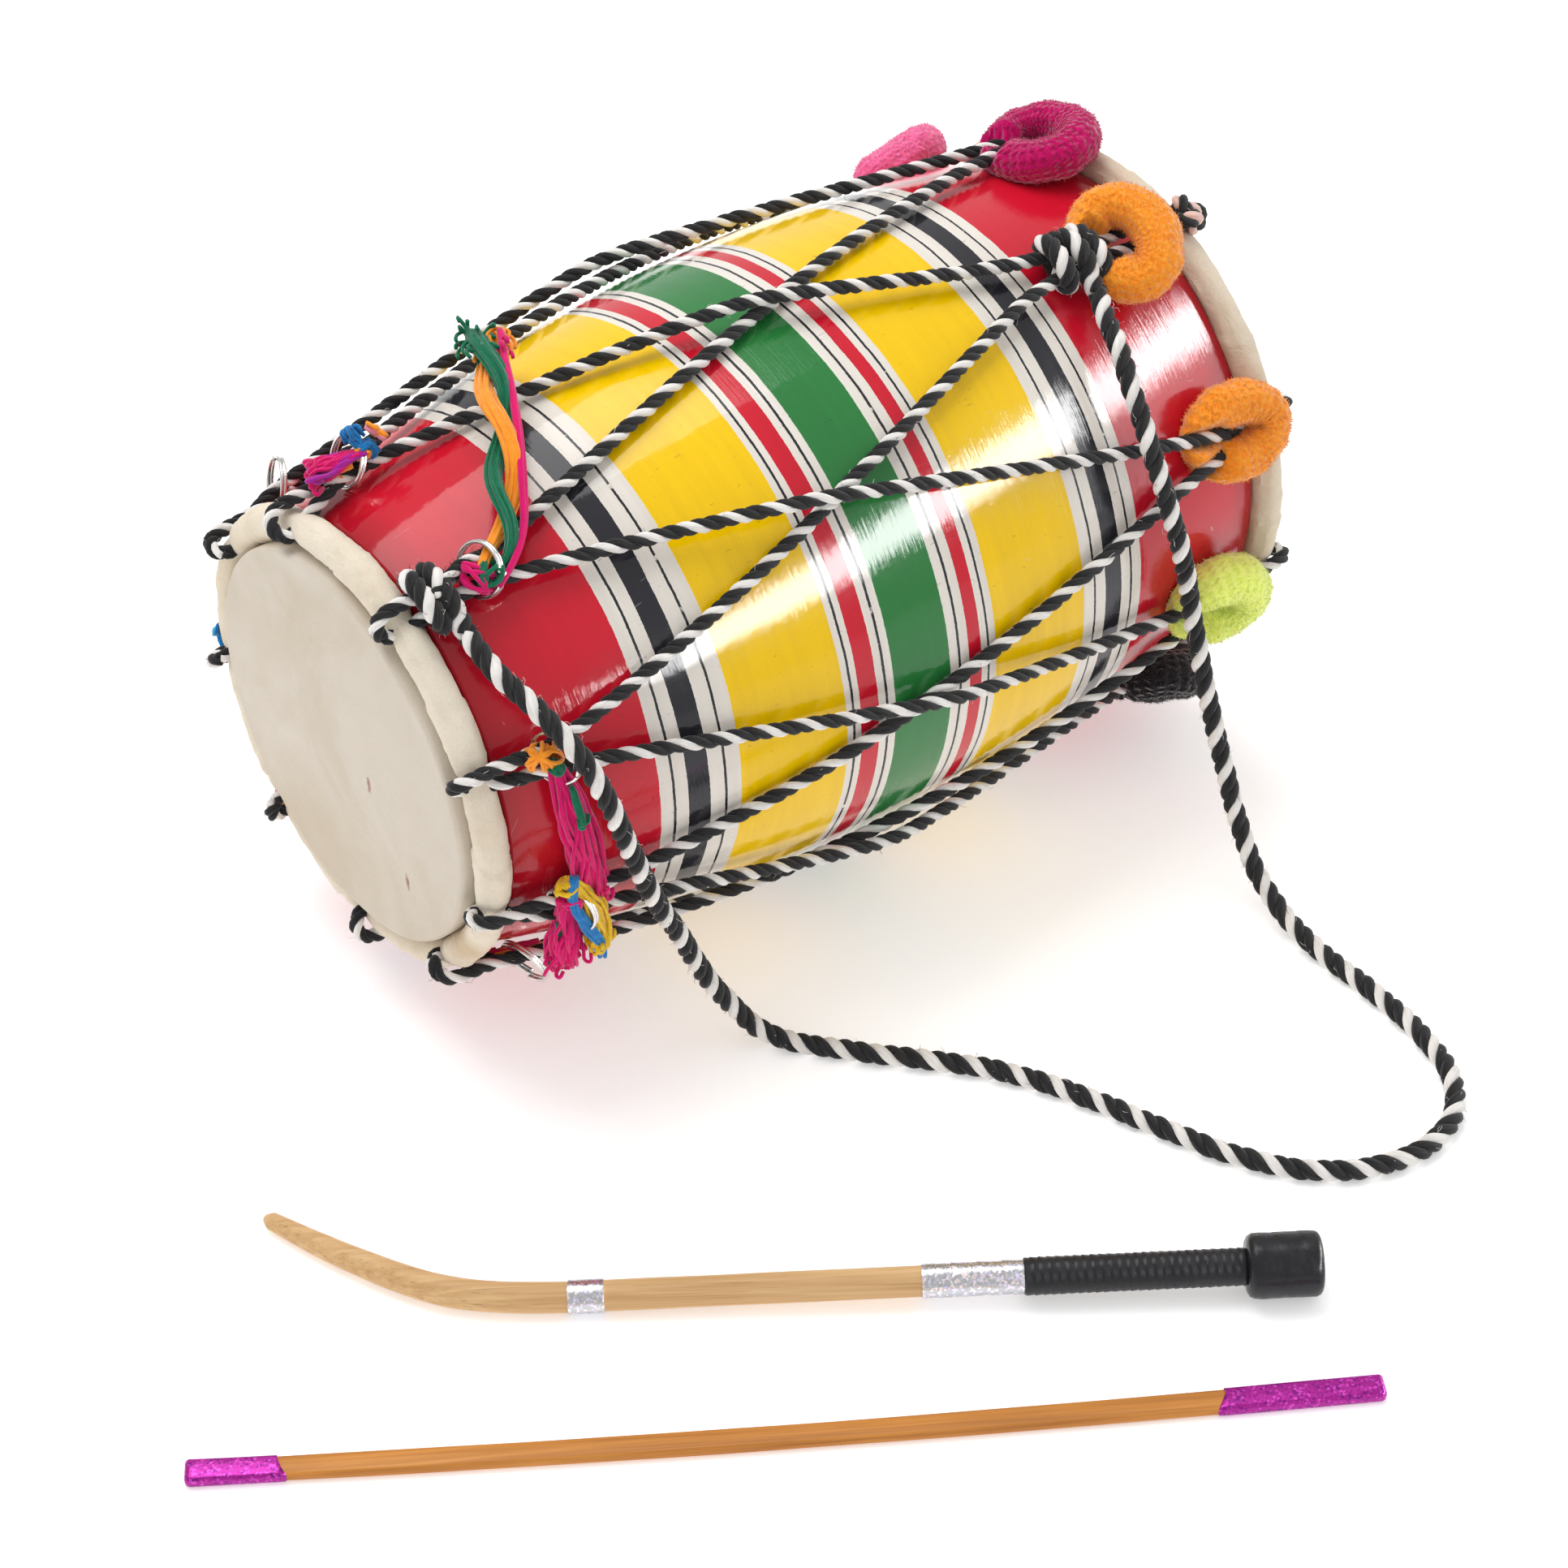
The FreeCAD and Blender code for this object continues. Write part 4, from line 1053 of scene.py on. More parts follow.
@dataclass
class Hoops:
    """The two hide-wrapped hoops. Their hide laps over itself at the angles in laps."""

    steps: int = 360
    sides: int = 24
    laps: tuple[float, ...] = (4.0, 47.0, 88.0, 131.0, 190.0, 228.0, 283.0, 322.0)
    lap_rise: float = 0.75
    lap_deg: float = 20.0
    fold: float = 0.5
    seam: float = 0.7
    seam_at: float = 2.4
    dent: float = 1.3
    dent_half: float = 4.5
    sink: float = 0.4

    def hoop(self, name: str, node: str, x: float, r: float, degs: list[float],
             material: bpy.types.Material) -> bpy.types.Object:
        """Makes one hoop with folds, lumps and the dents that its hooks pull.

        Args:
            name: the piece's name.
            node: the CAD node that it stands for.
            x: its station.
            r: its middle radius.
            degs: the angles of its hooks.
            material: its finish.

        Returns:
            The hoop.
        """
        roll = LINES.hoop_roll_r
        profile = [(x + roll * math.cos(a), r + roll * math.sin(a))
                   for a in (FULL_TURN * i / self.sides for i in range(self.sides))]
        piece = lathe(name, profile, self.steps, True)
        centre = framed((x, 0.0, 0.0))
        for v in piece.data.vertices:
            y, z = (v.co.y - centre[1]) / MM, (v.co.z - centre[2]) / MM
            deg = math.degrees(math.atan2(-y, z)) % 360.0
            flat = math.hypot(y, z)
            axial = v.co.x / MM - centre[0] / MM
            way = (Vector((axial, 0.0, 0.0)) + Vector((0.0, y / flat, z / flat)) * (flat - r)).normalized()
            theta = math.atan2(flat - r, axial)
            place = Vector((x * 0.02 + axial * 0.05, deg * 0.11, theta))
            lump = noise.noise(place) * 0.4 + noise.noise(place * 3.1) * 0.22
            fold = max(0.0, noise.noise(Vector((deg * 0.45, axial * 0.35, 7.0)))) * self.fold
            stray = 0.3 * noise.noise(Vector((deg * 0.06, 2.0, x)))
            seam = -self.seam * math.exp(-((theta - self.seam_at - stray) * 9.0) ** 2)
            gap = min(abs((deg - d + 180.0) % 360.0 - 180.0) for d in degs) * math.pi / 180.0 * r
            dent = -self.dent * math.exp(-(gap / self.dent_half) ** 2)
            past = min((deg - lap - 3.0 * math.sin(theta)) % 360.0 for lap in self.laps)
            lapped = self.lap_rise * max(0.0, 1.0 - past / self.lap_deg)
            v.co += way * ((lump + fold + seam + dent + lapped - self.sink) * MM)
        smooth_by_angle(piece, 40.0)
        piece.data.materials.append(material)
        return stand_in(piece, node, "drum")

    def build(self, finishes: Finishes) -> list[bpy.types.Object]:
        """Makes both hoops."""
        g = LINES
        return [self.hoop(f"{end}_hoop_wrap", f"{end}_hoop", x, r, [deg(k) % 360 for k in range(LACES)],
                          finishes.wrap) for end, x, r, deg in (("near", g.near_hoop_x, g.near_hoop_r, g.near_deg),
                                       ("far", g.far_hoop_x, g.far_hoop_r, g.far_deg))]


@dataclass
class Lacing:
    """The zigzag rope between the hoops."""

    hook_axial: tuple[float, ...] = (0.95, 1.235, 0.60)
    hook_radial: tuple[float, ...] = (1.02, 0.245, -0.285)
    hook_side: tuple[float, ...] = (-1.0, -0.35, 0.60)
    drape: tuple[float, ...] = (0.16, 0.38, 0.62, 0.83)
    drape_lift: float = 1.5
    hump_half: float = 16.0
    hump_lift: float = 0.5
    pitches: tuple[float, ...] = (16.5, 14.0, 17.5, 13.6, 15.5, 14.4, 16.0, 13.8, 15.0)
    tight_r: float = 2.85
    tight_wrap: float = 2.4

    def hook(self, x: float, r: float, side: int, deg: float) -> list[np.ndarray]:
        """Gives a hook's corners: over the roll, round its nose, into the hole."""
        g = LINES
        wrap = g.hoop_roll_r + self.tight_wrap
        corners = []
        for axial, radial, sideways in zip(self.hook_axial, self.hook_radial, self.hook_side):
            corners.append(g.side(x + side * wrap * axial, r + wrap * radial, deg, g.spread * sideways))
        return corners

    def pair(self, x: float, deg: float, way: int, least: float = 0.0) -> np.ndarray:
        """Gives a point of a rope pair on one side of its middle."""
        return LINES.side(x, max(LINES.shell_r(x) + LINES.rise, least), deg, LINES.spread * way)

    def over(self, x: float, r: float, side: int, deg: float) -> list[np.ndarray]:
        """Gives the way from the nose over the roll."""
        g = LINES
        over, nose, hole = self.hook(x, r, side, deg)
        top = r + g.hoop_roll_r + self.tight_wrap
        return [(nose + hole) / 2, nose, over, self.pair(x - side * g.hook_run, deg, -1, top)]

    def under(self, x: float, r: float, side: int, deg: float) -> list[np.ndarray]:
        """Gives the way from the nose through the hole."""
        _, nose, hole = self.hook(x, r, side, deg)
        return [(nose + hole) / 2, hole, self.pair(x - side * LINES.hook_run, deg, 1)]

    def laid(self, a: np.ndarray, b: np.ndarray, x: float) -> float:
        """Gives a run's angle at a station between its ends."""
        first = math.degrees(math.atan2(-a[1], a[2]))
        last = math.degrees(math.atan2(-b[1], b[2]))
        return first + ((last - first + 540.0) % 360.0 - 180.0) * (x - a[0]) / (b[0] - a[0])

    def lower(self, k: int) -> list[np.ndarray]:
        """Gives the run on the shell from near point k + 1 to far point k."""
        g = LINES
        near, far = g.near_deg(k + 1), g.far_deg(k)
        a = self.pair(g.near_pair_x(k + 1), near, -1)
        b = self.pair(g.far_pair_x(k), far, 1)
        middle = []
        for share in self.drape:
            x = a[0] + (b[0] - a[0]) * share
            r = g.shell_r(x) + g.lace_gap + g.lace_r + self.drape_lift
            middle.append(g.turn(x, r, self.laid(a, b, x)))
        return (self.over(g.near_hoop_x, g.near_hoop_r, -1, near) + [a] + middle + [b]
                + self.under(g.far_hoop_x, g.far_hoop_r, 1, far)[::-1])

    def crossing(self, k: int) -> float:
        """Gives the station where the runs between points k and k + 1 cross."""
        g = LINES
        up = (self.pair(g.near_pair_x(k), g.near_deg(k), 1),
              self.pair(g.far_pair_x(k + 1), g.far_deg(k + 1), -1))
        low = (self.pair(g.near_pair_x(k + 1), g.near_deg(k + 1), -1),
               self.pair(g.far_pair_x(k), g.far_deg(k), 1))
        start, end = g.pair_near_x, g.pair_far_x
        for _ in range(24):
            x = (start + end) / 2
            apart = (self.laid(*low, x) - self.laid(*up, x) + 540.0) % 360.0 - 180.0
            start, end = (x, end) if apart > 0 else (start, x)
        return (start + end) / 2

    def upper(self, k: int) -> list[np.ndarray]:
        """Gives the run that rides over the lower one, from near point k to far point k + 1."""
        g = LINES
        near, far = g.near_deg(k), g.far_deg(k + 1)
        a = self.pair(g.near_pair_x(k), near, 1)
        b = self.pair(g.far_pair_x(k + 1), far, -1)
        x = self.crossing(k)
        r = g.shell_r(x) + 2 * g.lace_gap + 3 * g.lace_r + self.hump_lift
        hump = [g.turn(at, r, self.laid(a, b, at)) for at in (x - self.hump_half, x + self.hump_half)]
        return (self.under(g.near_hoop_x, g.near_hoop_r, -1, near) + [a] + hump + [b]
                + self.over(g.far_hoop_x, g.far_hoop_r, 1, far)[::-1])

    def build(self, finishes: Finishes) -> list[bpy.types.Object]:
        """Lays every run's strands, one V for each near point."""
        made = []
        for k in range(LACES):
            skein = Skein()
            for n, points in enumerate((self.upper(k), self.lower((k - 1) % LACES))):
                pitch = self.pitches[(2 * k + 5 * n) % LACES] * MM
                twist = Twist(self.tight_r * MM, pitch, sides=9, steps=12)
                line = Route(points).line(10)
                twist.add(skein, line, 0, 0.37 * k + 0.21 * n, 0.5)
                fuzz(skein, line, self.tight_r, 40, 20 + 2 * k + n, (0, 1))
            lace = skein.piece(f"lacing_rope_{k + 1}", [finishes.rope_black, finishes.rope_white])
            made.append(stand_in(lace, f"lacing_{k + 1}", "drum"))
        return made


@dataclass(frozen=True)
class Tuft:
    """A bunch of yarns: middle line, half widths, count, colours, flatness, share and size of looped ends."""

    line: tuple[Point, ...]
    widths: tuple[float, ...]
    count: int
    colours: str
    flat: float = 0.65
    loops: float = 0.3
    bow: float = 0.8


@dataclass(frozen=True)
class Knot:
    """A ball of wound yarn: its middle, radius, turns and colour."""

    at: Point
    radius: float
    turns: float
    colour: str


TUFTS = {
    1: (Tuft(((-150.2, -93.9, 39.1), (-147.9, -97.7, 26.8), (-146.2, -99.8, 13.2), (-144.1, -101.2, -4.6),
              (-139.1, -100.0, -27.6)), (3.5, 6.0, 7.5, 7.5, 5.5), 80, "magenta"),
        Tuft(((-148.6, -101.0, 33.0), (-147.2, -103.5, 24.0), (-146.8, -104.8, 14.0)), (1.0, 1.8, 1.6), 9, "green")),
    2: (Tuft(((-153.1, -100.5, -17.5), (-151.0, -98.0, -33.0), (-153.6, -98.0, -41.7), (-154.2, -98.0, -53.7)),
             (3.5, 5.0, 7.5, 9.0), 60, "magenta"),
        Tuft(((-153.7, -103.0, -8.1), (-146.0, -103.0, -19.7), (-140.9, -103.0, -34.0), (-141.5, -103.0, -48.4)),
             (3.0, 5.0, 5.5, 5.0), 34, "yellow", 0.8, 0.6),
        Tuft(((-151.5, -104.5, -6.2), (-154.8, -104.5, -16.6), (-146.7, -105.5, -33.9), (-141.0, -105.5, -46.6),
              (-142.4, -105.0, -52.4)), (2.0, 2.5, 2.6, 2.6, 2.0), 14, "blue", 0.8, 0.5),
        Tuft(((-155.5, -99.0, -30.0), (-157.0, -99.0, -42.0), (-157.5, -98.5, -52.0)), (1.2, 1.8, 1.8), 8, "green")),
    3: (Tuft(((-142.3, -64.3, -74.0), (-148.9, -60.7, -75.4), (-155.7, -57.1, -77.0), (-162.3, -54.0, -78.8)),
             (2.0, 2.6, 2.6, 1.6), 18, "magenta magenta orange"),),
    4: (Tuft(((-149.5, 3.0, -103.0), (-164.8, 7.6, -106.4), (-171.5, 11.3, -107.8)), (2.0, 4.4, 3.4), 26, "sky blue"),),
    5: (Tuft(((-149.5, 68.0, -79.0), (-165.6, 73.3, -83.1), (-172.2, 75.2, -86.0)), (2.0, 4.4, 3.2), 24,
             "orange pink"),),
    6: (Tuft(((-149.5, 102.0, -16.0), (-160.0, 104.0, -21.0), (-168.6, 103.5, -27.0), (-170.4, 109.0, -23.4),
              (-166.9, 110.8, -19.4)), (2.0, 2.6, 2.8, 2.8, 2.2), 18, "blue sky"),),
    7: (Tuft(((-149.5, 92.2, 45.8), (-149.5, 98.0, 36.0), (-150.0, 102.0, 24.0)), (2.0, 4.2, 4.4), 24,
             "yellow green orange"),),
    8: (Tuft(((-145.5, 24.3, 104.1), (-149.6, 26.5, 103.2), (-157.0, 29.4, 100.6), (-166.2, 32.7, 97.1)),
             (2.0, 4.0, 8.0, 9.5), 54, "magenta magenta purple", 0.45),
        Tuft(((-146.4, 25.0, 104.1), (-147.8, 28.8, 106.5), (-146.9, 32.8, 110.6)), (2.0, 3.0, 2.6), 16, "blue", 0.8,
             0.7),
        Tuft(((-138.1, 22.4, 107.6), (-140.0, 25.8, 109.4), (-141.7, 29.1, 111.1)), (1.8, 2.4, 2.2), 10,
             "orange pink", 0.8, 0.7),
        Tuft(((-151.5, 25.1, 100.6), (-156.0, 27.0, 99.6), (-160.3, 28.8, 97.8)), (1.8, 2.8, 3.0), 12, "orange")),
}
KNOTS = {
    0: (Knot((-147.5, -46.5, 92.0), 6.2, 9, "magenta"), Knot((-144.5, -50.5, 95.0), 4.6, 6, "green")),
    1: (Knot((-153.3, -91.5, 42.5), 5.6, 9, "orange"), Knot((-151.5, -96.5, 40.5), 2.6, 4, "green")),
    2: (Knot((-152.6, -101.0, -13.0), 3.9, 6, "yellow"), Knot((-151.4, -103.0, -19.0), 3.2, 3, "magenta")),
    8: (Knot((-144.0, 26.5, 103.0), 3.6, 5, "blue"), Knot((-147.0, 26.0, 103.4), 2.8, 3, "orange")),
}


@dataclass
class Rings:
    """The split tuning rings and the yarn tassels tied to them."""

    inner: float = 9.3
    wire: float = 0.75
    tilt_deg: float = 40.0
    lift: float = 2.0
    back: float = 2.0
    yarn_r: float = 0.8
    yarn_step: float = 1.6
    cores: int = 7
    core_reach: float = 0.45
    core_share: float = 0.36
    slots: tuple[str, ...] = ("green", "magenta", "yellow", "magenta", "blue", "orange", "blue", "yellow",
                              "magenta")
    right: Point = (0.787, -0.617, 0.0)
    towards: Point = (-0.462, -0.590, 0.662)
    core: tuple[Point, ...] = ((-146.6, -50.4, 92.7), (-140.2, -48.5, 95.6), (-131.0, -42.8, 102.3),
                               (-124.2, -32.5, 109.0), (-114.5, -17.5, 116.8), (-103.5, 1.7, 121.7),
                               (-93.4, 22.3, 123.6), (-85.2, 36.3, 123.9))

    def place(self, k: int) -> tuple[Local, np.ndarray]:
        """Gives ring k's directions and its middle."""
        spot = LINES.local(LINES.near_pair_x(k), LINES.near_deg(k))
        return spot, spot.point(-self.back, 0.0, self.lift)

    def ring(self, k: int, finishes: Finishes) -> bpy.types.Object:
        """Winds one split ring of two turns."""
        spot, centre = self.place(k)
        tilt = math.radians(self.tilt_deg)
        normal = spot.along * math.cos(tilt) - spot.out * math.sin(tilt)
        second = spot.along * math.sin(tilt) + spot.out * math.cos(tilt)
        turns = np.linspace(0.0, 2.0, 97)
        angle = FULL_TURN * (turns + 0.13)
        middle = self.inner + self.wire
        shift = (turns - 1.0) * self.wire * 1.8
        line = (centre + spot.round * (np.cos(angle) * middle)[:, None]
                + second * (np.sin(angle) * middle)[:, None] + normal * shift[:, None])
        skein = Skein()
        skein.tube(framed(line), self.wire * MM, 10)
        piece = skein.piece(f"split_ring_{k + 1}", [finishes.steel])
        return stand_in(piece, f"tuning_ring_{k + 1}", f"ring_{k + 1}")

    def strands(self, skein: Skein, line: np.ndarray, tuft: Tuft, names: list[str],
                pick: np.random.Generator) -> None:
        """Fills a tuft's outline with core yarns and loose ones, kept off the shell and the floor.

        Args:
            skein: the mesh that they go into.
            line: the tuft's middle line.
            tuft: its form.
            names: the colour of each slot.
            pick: fixes their scatter.
        """
        tangents = units(np.gradient(line, axis=0))
        out = line * (0.0, 1.0, 1.0)
        second = units(out - tangents * np.sum(out * tangents, axis=1)[:, None])
        first = np.cross(second, tangents)
        at = np.linspace(0.0, 1.0, len(line))
        widths = np.interp(at, np.linspace(0.0, 1.0, len(tuft.widths)), tuft.widths)
        colours = tuft.colours.split()
        for n in range(self.cores):
            turn = FULL_TURN * n / self.cores + 0.7 * at
            path = (line + first * (np.cos(turn) * widths)[:, None] * self.core_reach
                    + second * (np.sin(turn) * widths)[:, None] * self.core_reach * tuft.flat)
            low = np.array([LINES.shell_r(x) for x in path[:, 0]]) + 0.35 * widths * tuft.flat + 0.5
            path[:, 1:] *= np.maximum(1.0, low / np.hypot(path[:, 1], path[:, 2]))[:, None]
            radii = widths[:-2] * self.core_share * tuft.flat * MM
            skein.tube(framed(path[:-2]), radii, 7, names.index(colours[0]))
        for n in range(tuft.count):
            wander = np.sin(at * pick.uniform(5.0, 11.0) + pick.uniform(0.0, 6.28))
            turn = FULL_TURN * (n / tuft.count + pick.uniform(-0.04, 0.04))
            turn = turn + pick.uniform(0.2, 0.9) * at + 0.35 * wander
            reach = np.maximum(0.0, widths - self.yarn_r) * math.sqrt(pick.uniform(0.1, 1.0))
            reach = reach * (1.0 + 0.3 * wander)
            path = (line + first * (np.cos(turn) * reach)[:, None]
                    + second * (np.sin(turn) * reach * tuft.flat)[:, None])
            cut = max(5, int(len(line) * pick.uniform(0.86, 1.0)))
            path = path[:cut]
            if pick.uniform() < tuft.loops:
                way = unit(path[-1] - path[-3])
                across = unit(first[cut - 1] * pick.normal() + second[cut - 1] * 0.5 * pick.normal())
                bow = pick.uniform(0.9, 1.0 + tuft.bow)
                bend = np.linspace(0.5, math.pi, 6)
                back = (path[-1] + way * (np.sin(bend) * bow)[:, None]
                        + across * ((1 - np.cos(bend)) * bow)[:, None])
                path = np.concatenate([path, back, back[-1:] - way * pick.uniform(1.5, 4.0)])
            low = np.array([LINES.shell_r(x) for x in path[:, 0]]) + 0.9
            path[:, 1:] *= np.maximum(1.0, low / np.hypot(path[:, 1], path[:, 2]))[:, None]
            path[:, 2] = np.maximum(path[:, 2], self.yarn_r + 0.2 + FLOOR)
            colour = colours[int(pick.integers(0, len(colours)))]
            skein.tube(framed(path), self.yarn_r * pick.uniform(0.9, 1.12) * MM, 5, names.index(colour))

    def wound(self, skein: Skein, knot: Knot, slot: int, pick: np.random.Generator) -> None:
        """Winds a ball of yarn."""
        way = unit(pick.normal(0.0, 1.0, 3))
        side = unit(np.cross(way, (0.3, 0.5, 0.8)))
        other = np.cross(way, side)
        angle = np.linspace(0.0, FULL_TURN * knot.turns, int(18 * knot.turns))
        heading = 0.41 * angle + 0.4 * np.sin(0.7 * angle)
        reach = knot.radius * (1.0 + 0.2 * np.sin(0.83 * angle + 1.0))
        line = (np.array(knot.at) + side * (np.cos(angle) * np.cos(heading) * reach)[:, None]
                + other * (np.cos(angle) * np.sin(heading) * reach)[:, None]
                + way * (np.sin(angle) * reach)[:, None])
        skein.tube(framed(line), self.yarn_r * 1.1 * MM, 6, slot)

    def plies(self) -> list[tuple[np.ndarray, Tuft]]:
        """Gives the first tassel's plies, laid round each other where it is thrown over the ropes."""
        line = own_line(self.core, self.yarn_step, 12)
        at = np.linspace(0.0, 1.0, len(line))
        tangents = units(np.gradient(line, axis=0))
        right = units(np.array(self.right) - tangents * (tangents @ np.array(self.right))[:, None])
        front = np.cross(tangents, right)
        front *= np.sign(front @ np.array(self.towards))[:, None]
        made = []
        for stations, degrees, away, tuft in (
                ((0.0, 0.1, 0.35, 0.5, 0.9, 1.0), (-65, 0, 180, 270, 495, 560), 3.6,
                 Tuft((), (2.2, 3.2, 3.8, 3.8, 3.8, 5.0), 32, "green", 0.9, 0.8, 2.6)),
                ((0.0, 0.1, 0.6, 0.95, 1.0), (115, 180, 495, 675, 705), 3.6,
                 Tuft((), (2.0, 3.0, 3.4, 3.4, 3.4, 4.6), 28, "orange", 0.9, 0.8, 2.6)),
                ((0.0, 1.0), (10, 20), 6.2, Tuft((), (1.4, 1.8, 1.8, 1.6), 12, "magenta", 1.0, 0.4))):
            turn = np.radians(np.interp(at, stations, degrees))
            made.append((line + (right * np.cos(turn)[:, None] + front * np.sin(turn)[:, None]) * away, tuft))
        return made

    def tassel(self, k: int, finishes: Finishes) -> bpy.types.Object:
        """Ties tassel k out of its tufts and knots."""
        pick = np.random.default_rng(11 + k)
        bunches = self.plies() if k == 0 else [
            (own_line(tuft.line, self.yarn_step, 12), tuft) for tuft in TUFTS[k]]
        knots = KNOTS.get(k, ())
        names = {c for _, tuft in bunches for c in tuft.colours.split()}
        names = sorted(names | {knot.colour for knot in knots})
        skein = Skein()
        for line, tuft in bunches:
            self.strands(skein, line, tuft, names, pick)
        for knot in knots:
            self.wound(skein, knot, names.index(knot.colour), pick)
        piece = skein.piece(f"yarn_tassel_{k + 1}", [finishes.yarns[c] for c in names])
        return stand_in(piece, f"tassel_{k + 1}", f"ring_{k + 1}")

    def build(self, finishes: Finishes) -> list[bpy.types.Object]:
        """Makes every ring and tassel."""
        return [maker(k, finishes) for k in range(LACES) for maker in (self.ring, self.tassel)]


@dataclass(frozen=True)
class WoolShape:
    """A wool ring: its station, half length, half width, roll radius, lift, shift and colour."""

    x: float
    long: float
    wide: float
    roll: float
    high: float
    side: float
    colour: str


@dataclass
class WoolRings:
    """The closed wool rings on the far rope pairs, which run under a ring's far side and over its near one."""

    shapes: tuple[WoolShape, ...] = (
        WoolShape(150.0, 9.5, 16.5, 9.2, 14.0, 4.0, "orange"),
        WoolShape(162.0, 14.0, 11.0, 9.2, 8.0, -4.0, "orange"),
        WoolShape(150.0, 12.0, 11.5, 10.4, 7.0, -9.0, "neon"),
        WoolShape(158.0, 10.0, 11.0, 10.4, 9.0, -8.0, "black"),
        WoolShape(158.0, 12.0, 14.0, 7.6, 0.0, 0.0, "pink"),
        WoolShape(158.0, 9.0, 10.0, 9.2, 4.0, 6.0, "green"),
        WoolShape(162.0, 14.0, 11.0, 9.2, 8.0, 4.0, "magenta"),
        WoolShape(158.0, 17.0, 9.0, 9.2, 8.0, 8.0, "pink"),
        WoolShape(168.0, 13.5, 17.5, 9.2, 7.0, 12.0, "magenta"))
    low: float = -2.0
    steps: int = 96
    sides: int = 48
    clear: float = 3.1
    rib: float = 2.9
    rib_rise: float = 0.34
    lumps: float = 1.1
    dimples: float = 0.5
    rope_step: float = 1.2
    rope_reach: float = 48.0
    hole: float = 0.4
    off_shell: float = 0.2
    off_hoop: float = 0.8
    off_floor: float = 0.4
    hairs: int = 4200
    hair_r: float = 0.14

    def ropes(self, k: int, spot: Local) -> list[np.ndarray]:
        """Gives the two runs that ring k holds, as lengths along, round and out from its place."""
        made = []
        for points in (Lacing().upper((k - 1) % LACES), Lacing().lower(k)):
            line = own_line(points, self.rope_step) - spot.at
            line = np.stack([line @ spot.along, line @ spot.round, line @ spot.out], axis=1)
            made.append(line[np.abs(line[:, 0]) < self.rope_reach])
        return made

    def fitted(self, body: np.ndarray, k: int, spot: Local, turn: np.ndarray) -> np.ndarray:
        """Keeps the wool off its own hole, the ropes, the shell, the hoop and the floor.

        Args:
            body: the wool's surface, in millimetres.
            k: which ring.
            spot: the directions at the ring.
            turn: each section's angle round the ring.

        Returns:
            The surface where it may lie.
        """
        g, shape = LINES, self.shapes[k]
        flat = body - spot.at
        flat = np.stack([flat @ spot.along, flat @ spot.round, flat @ spot.out], axis=-1)
        way = units(np.stack([shape.wide * np.cos(turn), shape.long * np.sin(turn)], axis=1))
        inner = flat[..., 0] * way[:, None, 0] + (flat[..., 1] - shape.side) * way[:, None, 1]
        flat[..., :2] += way[:, None] * np.maximum(0.0, self.hole - inner)[..., None]
        far, near = (np.cos(turn) > 0.35)[:, None], (np.cos(turn) < -0.35)[:, None]
        for rope in self.ropes(k, spot):
            apart = np.linalg.norm(flat[..., None, :2] - rope[None, None, :, :2], axis=-1)
            nearest = apart.argmin(axis=-1)
            d = apart.min(axis=-1)
            h = flat[..., 2] - rope[nearest, 2]
            over = np.sqrt(np.maximum(0.0, self.clear ** 2 - d * d))
            bound = np.where(d < self.clear, over, (self.clear - d) * 2.2)
            flat[..., 2] += np.where(far, np.maximum(0.0, bound - h), 0.0)
            flat[..., 2] -= np.where(near, np.maximum(0.0, h + bound), 0.0)
            beside = ~far & ~near & (np.abs(h) < self.clear)
            aside = np.maximum(0.0, self.clear - d) * np.sign(np.sin(turn))[:, None]
            flat[..., 1] += np.where(beside, aside, 0.0)
        body = spot.at + flat[..., :1] * spot.along + flat[..., 1:2] * spot.round + flat[..., 2:] * spot.out
        r = np.hypot(body[..., 1], body[..., 2])
        span, fall = g.far_end_x - g.belly_x, g.belly_r - g.far_end_r
        radius = (span ** 2 + fall ** 2) / (2 * fall)
        low = g.belly_r - radius + np.sqrt(radius ** 2 - (body[..., 0] - g.belly_x) ** 2) + self.off_shell
        body[..., 1:] *= np.maximum(1.0, low / r)[..., None]
        r = np.maximum(r, low)
        axial, radial = body[..., 0] - g.far_hoop_x, r - g.far_hoop_r
        away = np.hypot(axial, radial)
        push = np.maximum(0.0, (g.hoop_roll_r + self.off_hoop) / away - 1.0)
        body[..., 0] += axial * push
        body[..., 1:] *= (1.0 + radial * push / r)[..., None]
        body[..., 2] = np.maximum(body[..., 2], self.off_floor + FLOOR)
        return body

